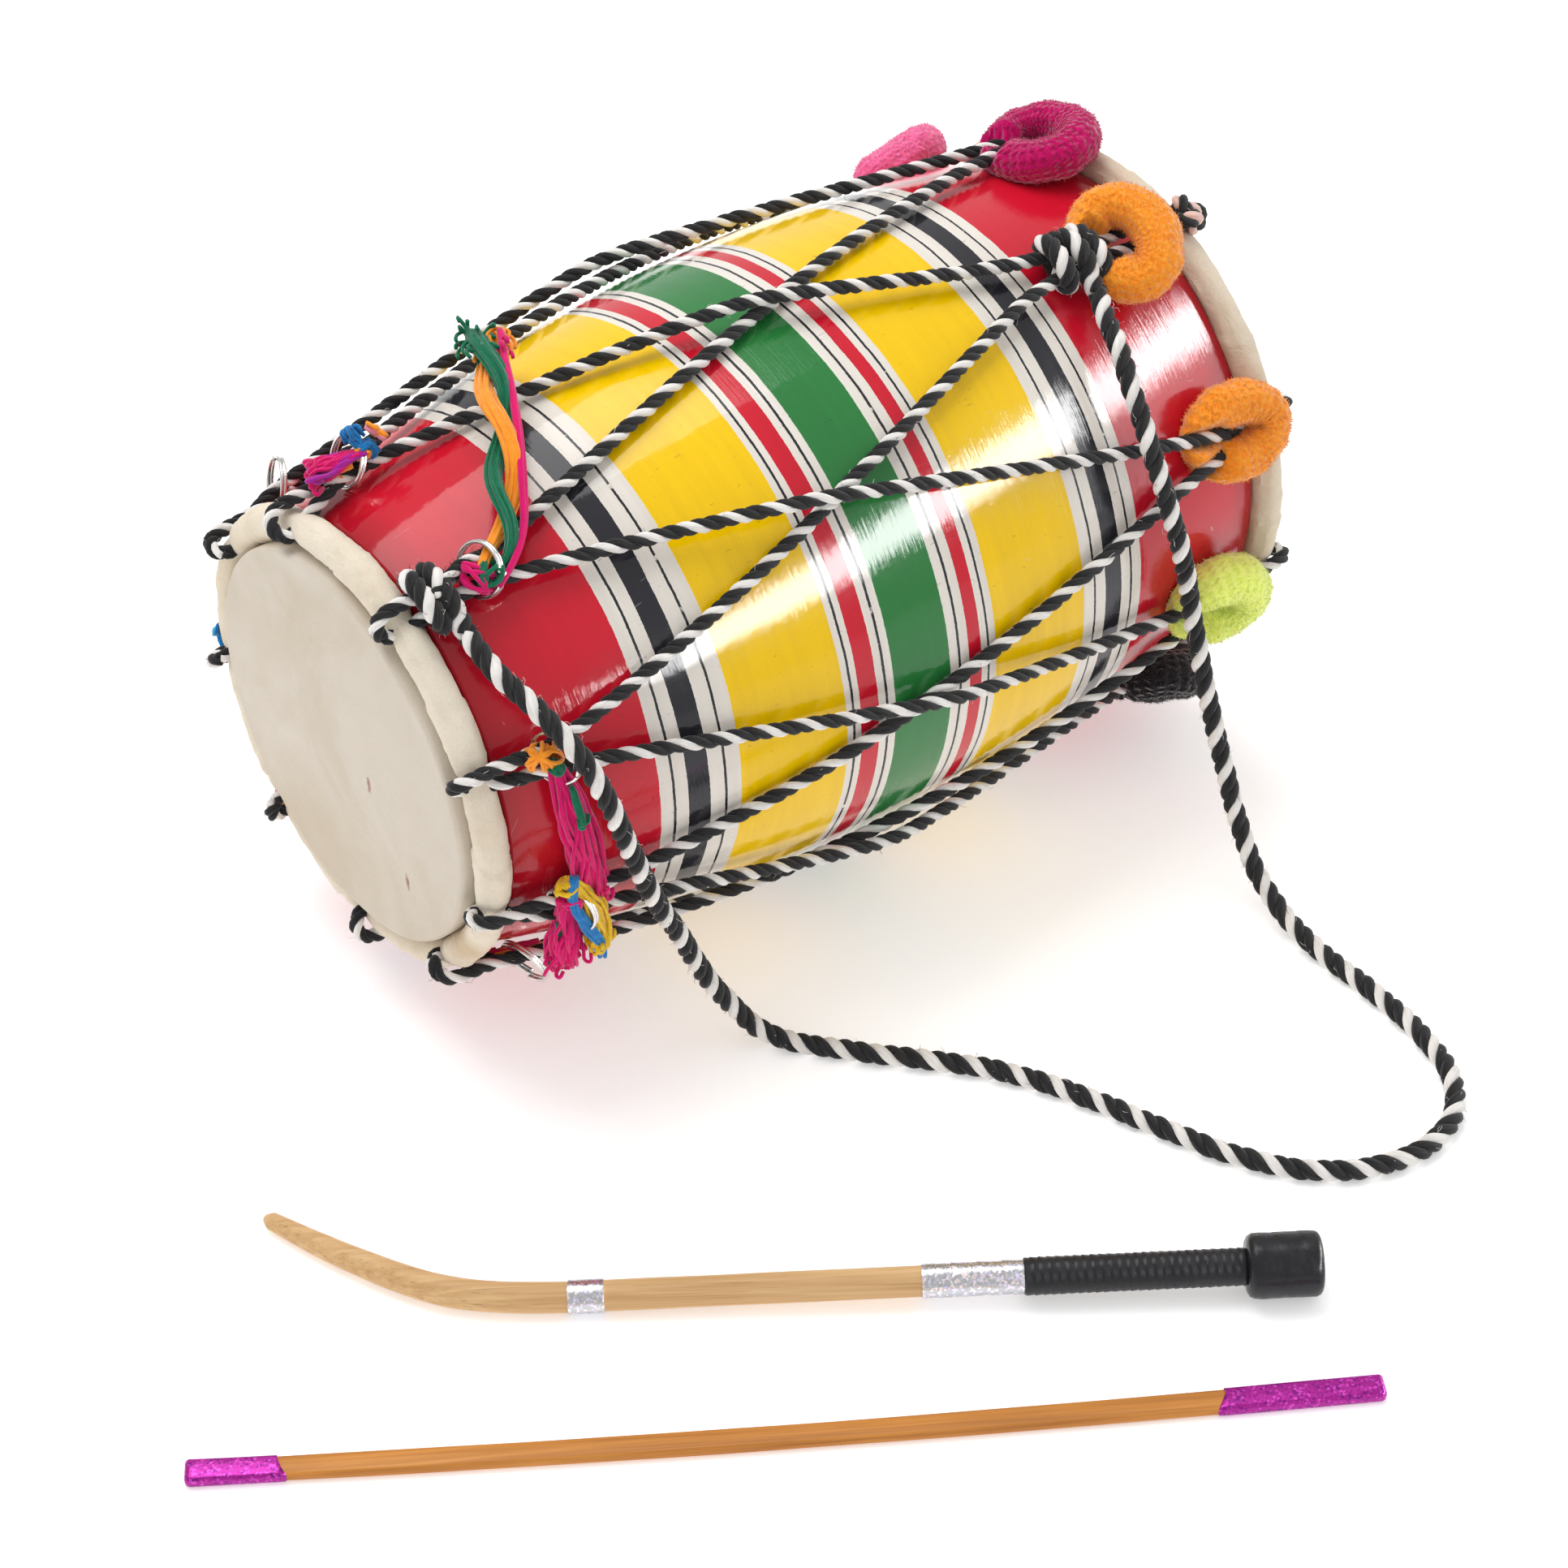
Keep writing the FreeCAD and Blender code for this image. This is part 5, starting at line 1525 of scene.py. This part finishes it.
    def make(self, k: int, finishes: Finishes) -> bpy.types.Object:
        """Shapes, ribs and brushes one ring."""
        shape = self.shapes[k]
        roll = shape.roll
        spot = LINES.local(shape.x, LINES.far_deg(k))
        turn = np.arange(self.steps) * FULL_TURN / self.steps
        rise = self.low + (shape.high - self.low) * (1 + np.cos(turn)) / 2
        line = (spot.at + spot.along * (shape.long * np.cos(turn))[:, None]
                + spot.round * (shape.wide * np.sin(turn) + shape.side)[:, None] + spot.out * rise[:, None])
        tangents = units(np.roll(line, -1, 0) - np.roll(line, 1, 0))
        first = line - line.mean(axis=0)
        first = units(first - tangents * np.sum(first * tangents, axis=1)[:, None])
        second = np.cross(tangents, first)
        spans = np.linalg.norm(np.roll(line, -1, 0) - line, axis=1)
        along = np.concatenate(([0.0], np.cumsum(spans)))
        a = np.arange(self.sides) * FULL_TURN / self.sides
        normal = first[:, None] * np.cos(a)[None, :, None] + second[:, None] * np.sin(a)[None, :, None]
        ribs = round(along[-1] / self.rib) * FULL_TURN / along[-1]
        radii = roll - 0.3 + self.rib_rise * np.sin(along[:-1, None] * ribs + 0.5 * np.sin(a * 3)[None])
        for i in range(self.steps):
            for j in range(self.sides):
                there = Vector(line[i] + normal[i, j] * roll)
                lump, dimple = noise.noise(there * 0.11), noise.noise(there * 0.34)
                radii[i, j] += lump * self.lumps + dimple * self.dimples
        body = self.fitted(line[:, None] + normal * radii[..., None], k, spot, turn)
        for _ in range(2):
            beside = sum(np.roll(body, way, axis) for way in (-1, 1) for axis in (0, 1)) / 4
            body = self.fitted(0.5 * body + 0.5 * beside, k, spot, turn)
        skein = Skein()
        i, j = np.meshgrid(np.arange(self.steps), np.arange(self.sides), indexing="ij")
        corners, marks = [], []
        for di, dj in ((0, 0), (0, 1), (1, 1), (1, 0)):
            corners.append((i + di) % self.steps * self.sides + (j + dj) % self.sides)
            marks.append(np.stack([(j + dj) * FULL_TURN / self.sides * roll, along[i + di]], axis=-1) * MM)
        skein.verts.append(framed(body.reshape(-1, 3)))
        skein.faces.extend(np.stack(corners, axis=-1).reshape(-1, 4).tolist())
        skein.uvs.append(np.stack(marks, axis=-2).reshape(-1, 2))
        skein.slots.extend([0] * self.steps * self.sides)
        skein.count = self.steps * self.sides
        self.brush(skein, body, normal, k)
        piece = skein.piece(f"wool_ring_{k + 1}", [finishes.wools[shape.colour]])
        stand_in(piece, f"pompom_{k + 1}", "drum")
        return piece

    def brush(self, skein: Skein, body: np.ndarray, outwards: np.ndarray, k: int) -> None:
        """Brushes fine hairs out of the wool."""
        pick = np.random.default_rng(40 + k)
        beside, ahead = (np.roll(body, -1, axis) - np.roll(body, 1, axis) for axis in (1, 0))
        face = np.cross(beside, ahead)
        face /= np.maximum(1e-6, np.linalg.norm(face, axis=-1))[..., None]
        face *= np.sign(np.sum(face * outwards, axis=-1))[..., None]
        i = pick.integers(0, self.steps, self.hairs)
        j = pick.integers(0, self.sides, self.hairs)
        share = pick.uniform(0.0, 1.0, (2, self.hairs, 1))
        root = (body[i, j] * (1 - share[0]) + body[(i + 1) % self.steps, j] * share[0])
        root = root * (1 - share[1]) + body[i, (j + 1) % self.sides] * share[1]
        lean = units(face[i, j] + pick.normal(0.0, 0.45, (self.hairs, 3)))
        tip = root + lean * pick.uniform(0.5, 1.6, (self.hairs, 1))
        bend = (root + tip) / 2 + pick.normal(0.0, 0.18, (self.hairs, 3))
        free = np.minimum(tip[:, 2], bend[:, 2]) > 0.3 + FLOOR
        root -= face[i, j] * 0.2
        skein.hairs(framed(root)[free], framed(bend)[free], framed(tip)[free], self.hair_r * MM)

    def build(self, finishes: Finishes) -> list[bpy.types.Object]:
        """Makes every ring."""
        return [self.make(k, finishes) for k in range(LACES)]


@dataclass
class ShoulderRope:
    """The strap: a thick rope hitched to the lacing at both ends."""

    radius: float = 4.4
    laid_r: float = 4.0
    gap: float = 0.3
    ease: float = 0.6
    stub: float = 5.5
    lead: float = 9.0
    pitch: float = 17.0
    near_x: float = -160.3
    far_x: float = 123.5
    far_along: float = 4.5
    hitch_share: float = 0.85
    end_r: float = 2.3
    end_pitch: float = 11.0
    stopper_deg: float = 23.0
    stopper_x: float = 189.0
    stopper_at_r: float = 115.2
    stopper_r: float = 3.4
    stopper_pitch: float = 13.0
    stopper_loop: float = 2.1
    stopper_depth: float = 2.6
    near_route: tuple[Point, ...] = (
        (-158.0, 14.0, 48.0), (-152.5, 17.8, 56.0), (-147.0, 22.0, 64.5),
        (-141.5, 20.8, 73.5), (-136.0, 17.2, 83.5), (-129.0, 14.6, 94.5), (-121.0, 16.0, 106.0))
    far_route: tuple[Point, ...] = (
        (119.0, 14.2, 41.5), (115.0, 15.4, 48.5), (113.5, 15.6, 59.0),
        (115.5, 15.6, 70.5), (121.0, 15.2, 82.0), (126.5, 14.7, 93.0))
    near_fall: tuple[Point, ...] = (
        (-108.5, -108.5, -57.0), (-99.0, -108.0, -82.0), (-88.0, -111.0, -104.0))
    far_fall: tuple[Point, ...] = (
        (128.0, -139.0, -46.0), (127.4, -151.5, -71.0), (126.0, -165.0, -95.0), (123.5, -182.0, -112.0))
    floor_route: tuple[tuple[float, float], ...] = (
        (-78.0, -122.0), (-62.0, -142.0), (-42.0, -164.0), (-20.0, -188.0), (-4.0, -217.0), (8.0, -248.0),
        (20.0, -277.0), (38.0, -302.0), (64.0, -317.0), (92.0, -318.0), (113.0, -302.0), (121.5, -274.0),
        (122.5, -242.0), (121.0, -212.0))
    near_turns: tuple[Point, ...] = (
        (0.0, 17.0, 0.0), (0.5, 11.0, 0.0), (1.0, 7.0, 5.8), (1.0, 0.0, 7.2), (0.2, -7.0, 6.0),
        (-0.5, -10.8, 0.5), (-2.0, -8.0, -3.0), (-3.0, 0.0, -3.0), (-4.0, 8.0, -2.5), (-5.0, 11.0, 1.0),
        (-6.0, 7.0, 6.5), (-6.5, 0.0, 8.4), (-7.0, -7.0, 7.0), (-7.0, -10.5, 2.5), (-5.5, -10.8, -1.5),
        (-4.0, -6.0, -3.0))
    far_turns: tuple[Point, ...] = (
        (4.5, 17.0, 0.0), (4.8, 11.0, 0.5), (5.2, 7.0, 6.0), (5.2, 0.0, 7.2), (4.5, -7.0, 6.0),
        (3.0, -10.8, 0.0), (0.5, -7.0, -3.2), (-1.5, 0.0, -3.2), (-3.5, 7.0, -3.0), (-5.0, 10.8, 0.5),
        (-5.7, 7.0, 6.0),
        (-5.9, 0.0, 7.4), (-5.2, -7.0, 6.2), (-3.0, -11.0, 0.0), (2.0, -8.0, -3.4), (7.0, 0.0, -3.5),
        (11.0, 8.0, -3.0), (12.6, 11.0, 0.6), (12.6, 7.0, 6.0), (12.2, 0.0, 7.2), (11.5, -7.0, 5.8),
        (10.5, -10.8, 0.0), (9.5, -10.0, -3.0))
    loose_end: tuple[Point, ...] = (
        (-166.2, -48.3, 93.5), (-155.5, -43.2, 95.8), (-148.4, -42.6, 97.3), (-144.4, -44.1, 97.8))

    def start(self, spot: Local, along: float) -> list[np.ndarray]:
        """Gives the strap's first two points at a knot."""
        reach = LINES.spread + LINES.lace_r + self.gap + self.ease + self.radius + self.stub
        return [spot.point(along, reach, 0), spot.point(0, reach + self.lead, 0)]

    def points(self) -> list[np.ndarray]:
        """Gives the route from the near knot over the floor to the far knot."""
        g = LINES
        route = self.start(g.local(self.near_x, g.near_deg(0)), 0.0)
        route += [g.turn(x, g.shell_r(x) + rise, deg) for x, rise, deg in self.near_route]
        route += [np.array(p) for p in self.near_fall]
        route += [np.array((x, y, FLOOR + self.laid_r + 0.2)) for x, y in self.floor_route]
        route += [np.array(p) for p in self.far_fall[::-1]]
        route += [g.turn(x, g.shell_r(x) + rise, deg) for x, rise, deg in self.far_route[::-1]]
        return route + self.start(g.local(self.far_x, g.far_deg(0)), self.far_along)[::-1]

    def strap(self, finishes: Finishes) -> bpy.types.Object:
        """Lays the strap's strands and its stray fibres."""
        line = Route(self.points()).line(16)
        skein = Skein()
        Twist(self.laid_r * MM, self.pitch * MM, sides=12, steps=14).add(skein, line, 0, 0.1, 0.4)
        fuzz(skein, line, self.laid_r, 420, 3, (0, 1, 1))
        piece = skein.piece("shoulder_rope", [finishes.rope_black, finishes.rope_white])
        stand_in(piece, "strap", "drum")
        return piece

    def hitch(self, name: str, node: str, spot: Local, turns: tuple[Point, ...],
              finishes: Finishes) -> bpy.types.Object:
        """Winds the strap round a rope pair.

        Args:
            name: the piece's name.
            node: the CAD node that it stands for.
            spot: the directions at the hitch.
            turns: its line's places along, round and out from there.
            finishes: the drum's finishes.

        Returns:
            The hitch.
        """
        line = Route([spot.point(*place) for place in turns]).line(12)
        skein = Skein()
        twist = Twist(self.laid_r * MM, self.pitch * self.hitch_share * MM, sides=11, steps=14)
        twist.add(skein, line, 0, 0.6)
        fuzz(skein, line, self.laid_r, 60, 9 + len(turns), (0, 1))
        if node == "strap_knot_near":
            end = Route(self.loose_end).line(12)
            Twist(self.end_r * MM, self.end_pitch * MM, sides=8, steps=12).add(skein, end, 0, 0.2)
            fuzz(skein, end, 2.0, 70, 5, (0,))
        piece = skein.piece(name, [finishes.rope_black, finishes.rope_white])
        return stand_in(piece, node, "drum")

    def stopper(self, finishes: Finishes) -> bpy.types.Object:
        """Ties the lump that ends the lacing rope, a trefoil seated on the far hoop's outer corner."""
        spot = LINES.local(LINES.far_hoop_x, self.stopper_deg)
        centre = LINES.turn(self.stopper_x, self.stopper_at_r, self.stopper_deg)
        seat = unit(spot.along * 0.3 + spot.out * 0.95)
        wide, across, deep = self.stopper_loop, np.cross(spot.round, seat), self.stopper_depth
        points = []
        for t in (FULL_TURN * i / 18 for i in range(19)):
            first, second = math.sin(t) + 2 * math.sin(2 * t), math.cos(t) - 2 * math.cos(2 * t)
            points.append(centre + across * first * wide + spot.round * second * wide
                          + seat * -math.sin(3 * t) * deep)
        line = Route(points).line(8)
        skein = Skein()
        Twist(self.stopper_r * MM, self.stopper_pitch * MM, sides=9, steps=12).add(skein, line, 0, 0.2)
        fuzz(skein, line, 3.0, 30, 7, (0, 1))
        piece = skein.piece("stopper_knot", [finishes.rope_black, finishes.rope_peach])
        return stand_in(piece, "lacing_stopper_knot", "drum")

    def build(self, finishes: Finishes) -> list[bpy.types.Object]:
        """Makes the strap, both hitches and the lacing's end knot."""
        g = LINES
        near, far = g.local(self.near_x, g.near_deg(0)), g.local(self.far_x, g.far_deg(0))
        return [self.strap(finishes),
                self.hitch("near_hitch", "strap_knot_near", near, self.near_turns, finishes),
                self.hitch("far_hitch", "strap_knot_far", far, self.far_turns, finishes),
                self.stopper(finishes)]


def fuzz(skein: Skein, line: np.ndarray, radius: float, count: int, seed: int,
         slots: tuple[int, ...]) -> None:
    """Adds stray fibres to a rope.

    Args:
        skein: the rope's mesh.
        line: its middle line, in metres.
        radius: its radius, in millimetres.
        count: how many fibres.
        seed: fixes their scatter.
        slots: the slots they take in turn.
    """
    pick = np.random.default_rng(seed)
    tangents, first, second = carried(line)
    for n in range(count):
        i = int(pick.integers(4, len(line) - 4))
        a = pick.uniform(0.0, FULL_TURN)
        out = first[i] * math.cos(a) + second[i] * math.sin(a)
        root = line[i] + out * radius * 0.85 * MM
        lift = pick.uniform(0.8, 2.4)
        run = tangents[i] * pick.uniform(-3.5, 3.5)
        tip = root + (out * lift + run) * MM
        middle = (root + tip) / 2 + (out * 0.6 + pick.normal(0.0, 0.4, 3)) * MM
        if min(tip[2], middle[2]) < 0.0002:
            continue
        skein.tube(np.stack([root, middle, tip]), np.array((0.09, 0.08, 0.04)) * MM, 3, slots[n % len(slots)])


@dataclass
class Beater:
    """The dagga: a bent stick with wraps and a wound knob."""

    end: tuple[float, float] = (3.1, -339.1)
    heading: float = -35.86
    straight: float = 269.0
    radius: float = 5.6
    knob_r: float = 12.0
    knob_len: float = 27.0
    foil: float = 0.5
    gap: float = 0.15
    knob_sides: int = 56
    sleeve_sides: int = 40
    knob_profile: tuple[tuple[float, float], ...] = (
        (0.25, 0.0), (0.12, 4.0), (0.0, 8.5), (0.25, 10.3), (1.0, 11.4), (2.2, 11.9), (5.0, 12.0), (9.0, 11.95),
        (13.0, 12.0), (18.0, 11.9), (22.0, 12.0), (24.6, 11.8), (26.0, 11.0), (26.8, 9.6), (27.0, 7.0), (27.0, 5.9))
    bend_along: tuple[float, ...] = (0.0, 14.5, 28.9, 43.4, 58.1, 72.9, 87.9, 107.9)
    bend_off: tuple[float, ...] = (0.0, 0.2, 1.3, 4.1, 10.3, 18.6, 27.6, 42.1)
    bend_share: tuple[float, ...] = (1.0, 1.0, 1.0, 0.99, 0.95, 0.88, 0.8, 0.6)

    def axis(self) -> tuple[np.ndarray, np.ndarray]:
        """Gives the knob's end and the way back along the stick."""
        a = math.radians(self.heading)
        low = self.radius + self.gap + self.foil
        slope = (self.knob_r - low) / (self.straight - self.knob_len)
        end = np.array((*self.end, FLOOR + self.knob_r + slope * self.knob_len))
        start = np.array((self.end[0] - self.straight * math.cos(a), self.end[1] - self.straight * math.sin(a),
                          FLOOR + low))
        return end, unit(start - end)

    def frame(self) -> tuple[np.ndarray, np.ndarray, np.ndarray, np.ndarray]:
        """Gives the knob's end, the way back, and the two directions across the straight stick."""
        end, back = self.axis()
        side = unit(np.cross(back, (0.0, 0.0, 1.0)))
        return end, back, side, np.cross(side, back)

    def dress(self, skein: Skein, name: str, node: str,
              material: bpy.types.Material) -> bpy.types.Object:
        """Makes a piece of the beater out of its skein."""
        piece = skein.piece(name, [material])
        smooth_by_angle(piece, 40.0)
        return stand_in(piece, node, "dagga")

    def shaft(self, finishes: Finishes) -> bpy.types.Object:
        """Carves the stick, slightly uneven, with a rounded tip."""
        end, back = self.axis()
        flat = unit(np.array((back[0], back[1], 0.0)))
        across = -unit(np.cross((0.0, 0.0, 1.0), flat))
        points = [end + back * d for d in np.linspace(9.0, self.straight, 60)]
        radii = [self.radius] * len(points)
        bend = end + back * self.straight
        along = np.linspace(2.0, self.bend_along[-1], 44)
        offs = np.interp(along, self.bend_along, self.bend_off)
        offs[3:-3] = np.convolve(offs, np.ones(7) / 7, "valid")
        for d, off in zip(along, offs):
            r = self.radius * float(np.interp(d, self.bend_along, self.bend_share))
            points.append(bend + flat * d + across * off + np.array((0, 0, r - self.radius)))
            radii.append(r)
        tip, last = unit(points[-1] - points[-2]), radii[-1]
        for d, share in ((0.6, 0.93), (1.08, 0.75), (1.38, 0.45)):
            points.append(points[-1] + tip * d)
            radii.append(last * share)
        line = np.array(points)
        wobble = np.array([1.0 + 0.018 * noise.noise(Vector(p * 0.05)) for p in line])
        skein = Skein()
        skein.tube(framed(line), np.array(radii) * wobble * MM, 28)
        return self.dress(skein, "beater_stick", "dagga_shaft", finishes.beater)

    def sleeve(self, name: str, node: str, start: float, length: float, thick: float,
               material: bpy.types.Material, ridge: float, pitch: float) -> bpy.types.Object:
        """Winds tape round the straight stick.

        Args:
            name: the piece's name.
            node: the CAD node that it stands for.
            start: how far it starts from the knob's end.
            length: its length.
            thick: its thickness.
            material: its finish.
            ridge: how high each turn's edge stands.
            pitch: the width of a turn.

        Returns:
            The sleeve.
        """
        end, back, side, up = self.frame()
        sides = self.sleeve_sides
        count = max(6, int(length / 0.5))
        inner = self.radius + self.gap * 0.5
        line = np.stack([end + back * (start + length * i / count) for i in range(count + 1)])
        outer = np.empty((len(line), sides, 3))
        for i, p in enumerate(line):
            d = length * i / count
            for j in range(sides):
                a = FULL_TURN * j / sides
                phase = (d / pitch + a / FULL_TURN) % 1.0
                edge = min(1.0, min(d, length - d) / 0.5)
                r = inner + thick * (0.72 + 0.28 * edge) + ridge * (phase - 0.5) * edge
                outer[i, j] = p + (side * math.cos(a) + up * math.sin(a)) * r
        skein = Skein()
        skein.tube(framed(line), (inner + thick) * MM, sides)
        skein.verts[0] = framed(outer.reshape(-1, 3))
        return self.dress(skein, name, node, material)

    def knob(self, finishes: Finishes) -> bpy.types.Object:
        """Winds the knob, dented, with worn rims."""
        end, back, side, up = self.frame()
        profile = self.knob_profile
        dense = []
        for (d0, r0), (d1, r1) in zip(profile, profile[1:]):
            steps = max(1, int(abs(d1 - d0) / 0.8) + 1)
            dense += [(d0 + (d1 - d0) * s / steps, r0 + (r1 - r0) * s / steps) for s in range(steps)]
        dense.append(profile[-1])
        sides = self.knob_sides
        skein = Skein()
        line = np.stack([end + back * d for d, _ in dense])
        spread_line = line + back * np.linspace(0.0, 0.4, len(line))[:, None]
        skein.tube(framed(spread_line), self.knob_r * MM, sides)
        verts = np.empty((len(dense), sides, 3))
        for i, (d, r) in enumerate(dense):
            for j in range(sides):
                a = FULL_TURN * j / sides
                way = side * math.cos(a) + up * math.sin(a)
                dent = noise.noise(Vector(way * 2.2 + back * d * 0.12)) * 0.3
                dent = dent + noise.noise(Vector(way * 6 + back * d * 0.5)) * 0.1
                lap = 0.16 * (((d / 9.0 + a / FULL_TURN) % 1.0) - 0.5) if 2 < d < 25 else 0.0
                verts[i, j] = line[i] + way * max(0.0, r + min(0.0, dent) + lap * 0.6 - 0.1 if r > 1 else r)
        skein.verts[0] = framed(verts.reshape(-1, 3))
        skein.verts[1] = framed(line[[0, -1]])
        return self.dress(skein, "beater_knob", "dagga_knob", finishes.knob)

    def build(self, finishes: Finishes) -> list[bpy.types.Object]:
        """Makes the whole beater."""
        return [self.shaft(finishes),
                self.sleeve("silver_band", "dagga_silver_band", 256.0, 13.0, self.foil,
                            finishes.silver, 0.1, 7.0),
                self.sleeve("silver_wrap", "dagga_silver_foil", 106.4, 36.5, self.foil,
                            finishes.silver, 0.22, 9.0),
                self.sleeve("grip_wrap", "dagga_grip_wrap", 27.0, 79.4, 1.1, finishes.grip,
                            0.36, 3.1),
                self.knob(finishes)]


@dataclass
class Cane:
    """The tilli: a flat, slightly bowed cane with foil on both ends."""

    start: tuple[float, float] = (-361.6, -162.1)
    end: tuple[float, float] = (-12.7, -388.0)
    bow: float = 3.2
    wide: float = 9.0
    thick: float = 4.2
    foil: float = 0.35
    gap: float = 0.15
    first_wrap: float = 33.0
    last_wrap: float = 58.0
    wrap_past: float = 0.1
    wrap_slant: float = 5.0
    slant_reach: float = 1.5
    cuts: int = 60

    def bar(self, name: str, begin: float, finish: float, wide: float, thick: float, slant: float,
            material: bpy.types.Material) -> bpy.types.Object:
        """Shapes a stretch of flat rounded bar on the cane's line.

        Args:
            name: the piece's name.
            begin: where it begins, from the cane's start.
            finish: where it ends.
            wide: its width.
            thick: its thickness.
            slant: how far its inner edge leans, positive at its end.
            material: its finish.

        Returns:
            The bar.
        """
        a = np.array((*self.start, FLOOR + self.thick / 2 + self.foil + self.gap))
        b = np.array((*self.end, a[2]))
        way = unit(b - a)
        across = np.cross(way, (0.0, 0.0, 1.0))
        total = float(np.linalg.norm(b - a))
        deselect()
        bpy.ops.mesh.primitive_cube_add(size=1.0)
        piece = bpy.context.object
        piece.name = name
        piece.scale = ((finish - begin) * MM, wide * MM, thick * MM)
        bpy.ops.object.transform_apply(location=False, rotation=False, scale=True)
        bevel = piece.modifiers.new("rounded", "BEVEL")
        bevel.width = thick * 0.36 * MM
        bevel.segments = 4
        bpy.ops.object.modifier_apply(modifier=bevel.name)
        bpy.ops.object.mode_set(mode="EDIT")
        for i in range(1, self.cuts):
            bpy.ops.mesh.select_all(action="SELECT")
            cut = (-0.5 + i / self.cuts) * (finish - begin) * MM
            bpy.ops.mesh.bisect(plane_co=(cut, 0, 0), plane_no=(1, 0, 0))
        bpy.ops.object.mode_set(mode="OBJECT")
        for v in piece.data.vertices:
            s, t, u = (v.co[0] / MM, v.co[1] / MM, v.co[2] / MM)
            d = s + (finish + begin) / 2
            if slant * s > abs(slant) * ((finish - begin) / 2 - self.slant_reach):
                d += slant * t / wide
            share = min(1.0, max(0.0, d / total))
            side = self.bow * 0.94 * math.sin(math.pi * share) ** 0.9
            taper = 1.0 - 0.05 * noise.noise(Vector((d * 0.02, 1.0, 4.0)))
            rise = 0.12 * noise.noise(Vector((d * 0.03, t * 0.2, 9.0))) if u > thick * 0.3 else 0.0
            v.co = framed(a + way * d + across * (side + t * taper) + np.array((0, 0, u + rise)))
        piece.data.update()
        smooth_by_angle(piece, 50.0)
        piece.data.materials.append(material)
        return piece

    def build(self, finishes: Finishes) -> list[bpy.types.Object]:
        """Makes the cane and its foil."""
        total = math.dist(self.start, self.end)
        cane = self.bar("flat_cane", 0.0, total, self.wide, self.thick, 0.0, finishes.cane)
        extra = 2 * (self.foil + self.gap)
        wide, thick = self.wide + extra, self.thick + extra - self.gap
        wraps = [self.bar(name, begin, finish, wide, thick, slant, finishes.magenta)
                 for name, begin, finish, slant in (
            ("foil_first", -self.wrap_past, self.first_wrap, self.wrap_slant),
            ("foil_last", total - self.last_wrap, total + self.wrap_past, -self.wrap_slant))]
        return [stand_in(cane, "tilli_cane", "tilli"),
                *(stand_in(wrap, "tilli_foil_wraps", "tilli") for wrap in wraps)]


def main() -> None:
    """Builds the object, the studio and the camera in order."""
    logging.basicConfig(level=logging.INFO, format="%(message)s")
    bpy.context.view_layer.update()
    finishes = Finishes()
    View().build()
    Studio().build()
    makers = (ShoulderRope(), Lacing(), Barrel(), Heads(), Hoops(), Rings(), WoolRings(), Beater(), Cane())
    for maker in makers:
        for piece in maker.build(finishes):
            LOG.info("%s: %d faces", piece.name, len(piece.data.polygons))


if __name__ == "__main__":
    main()
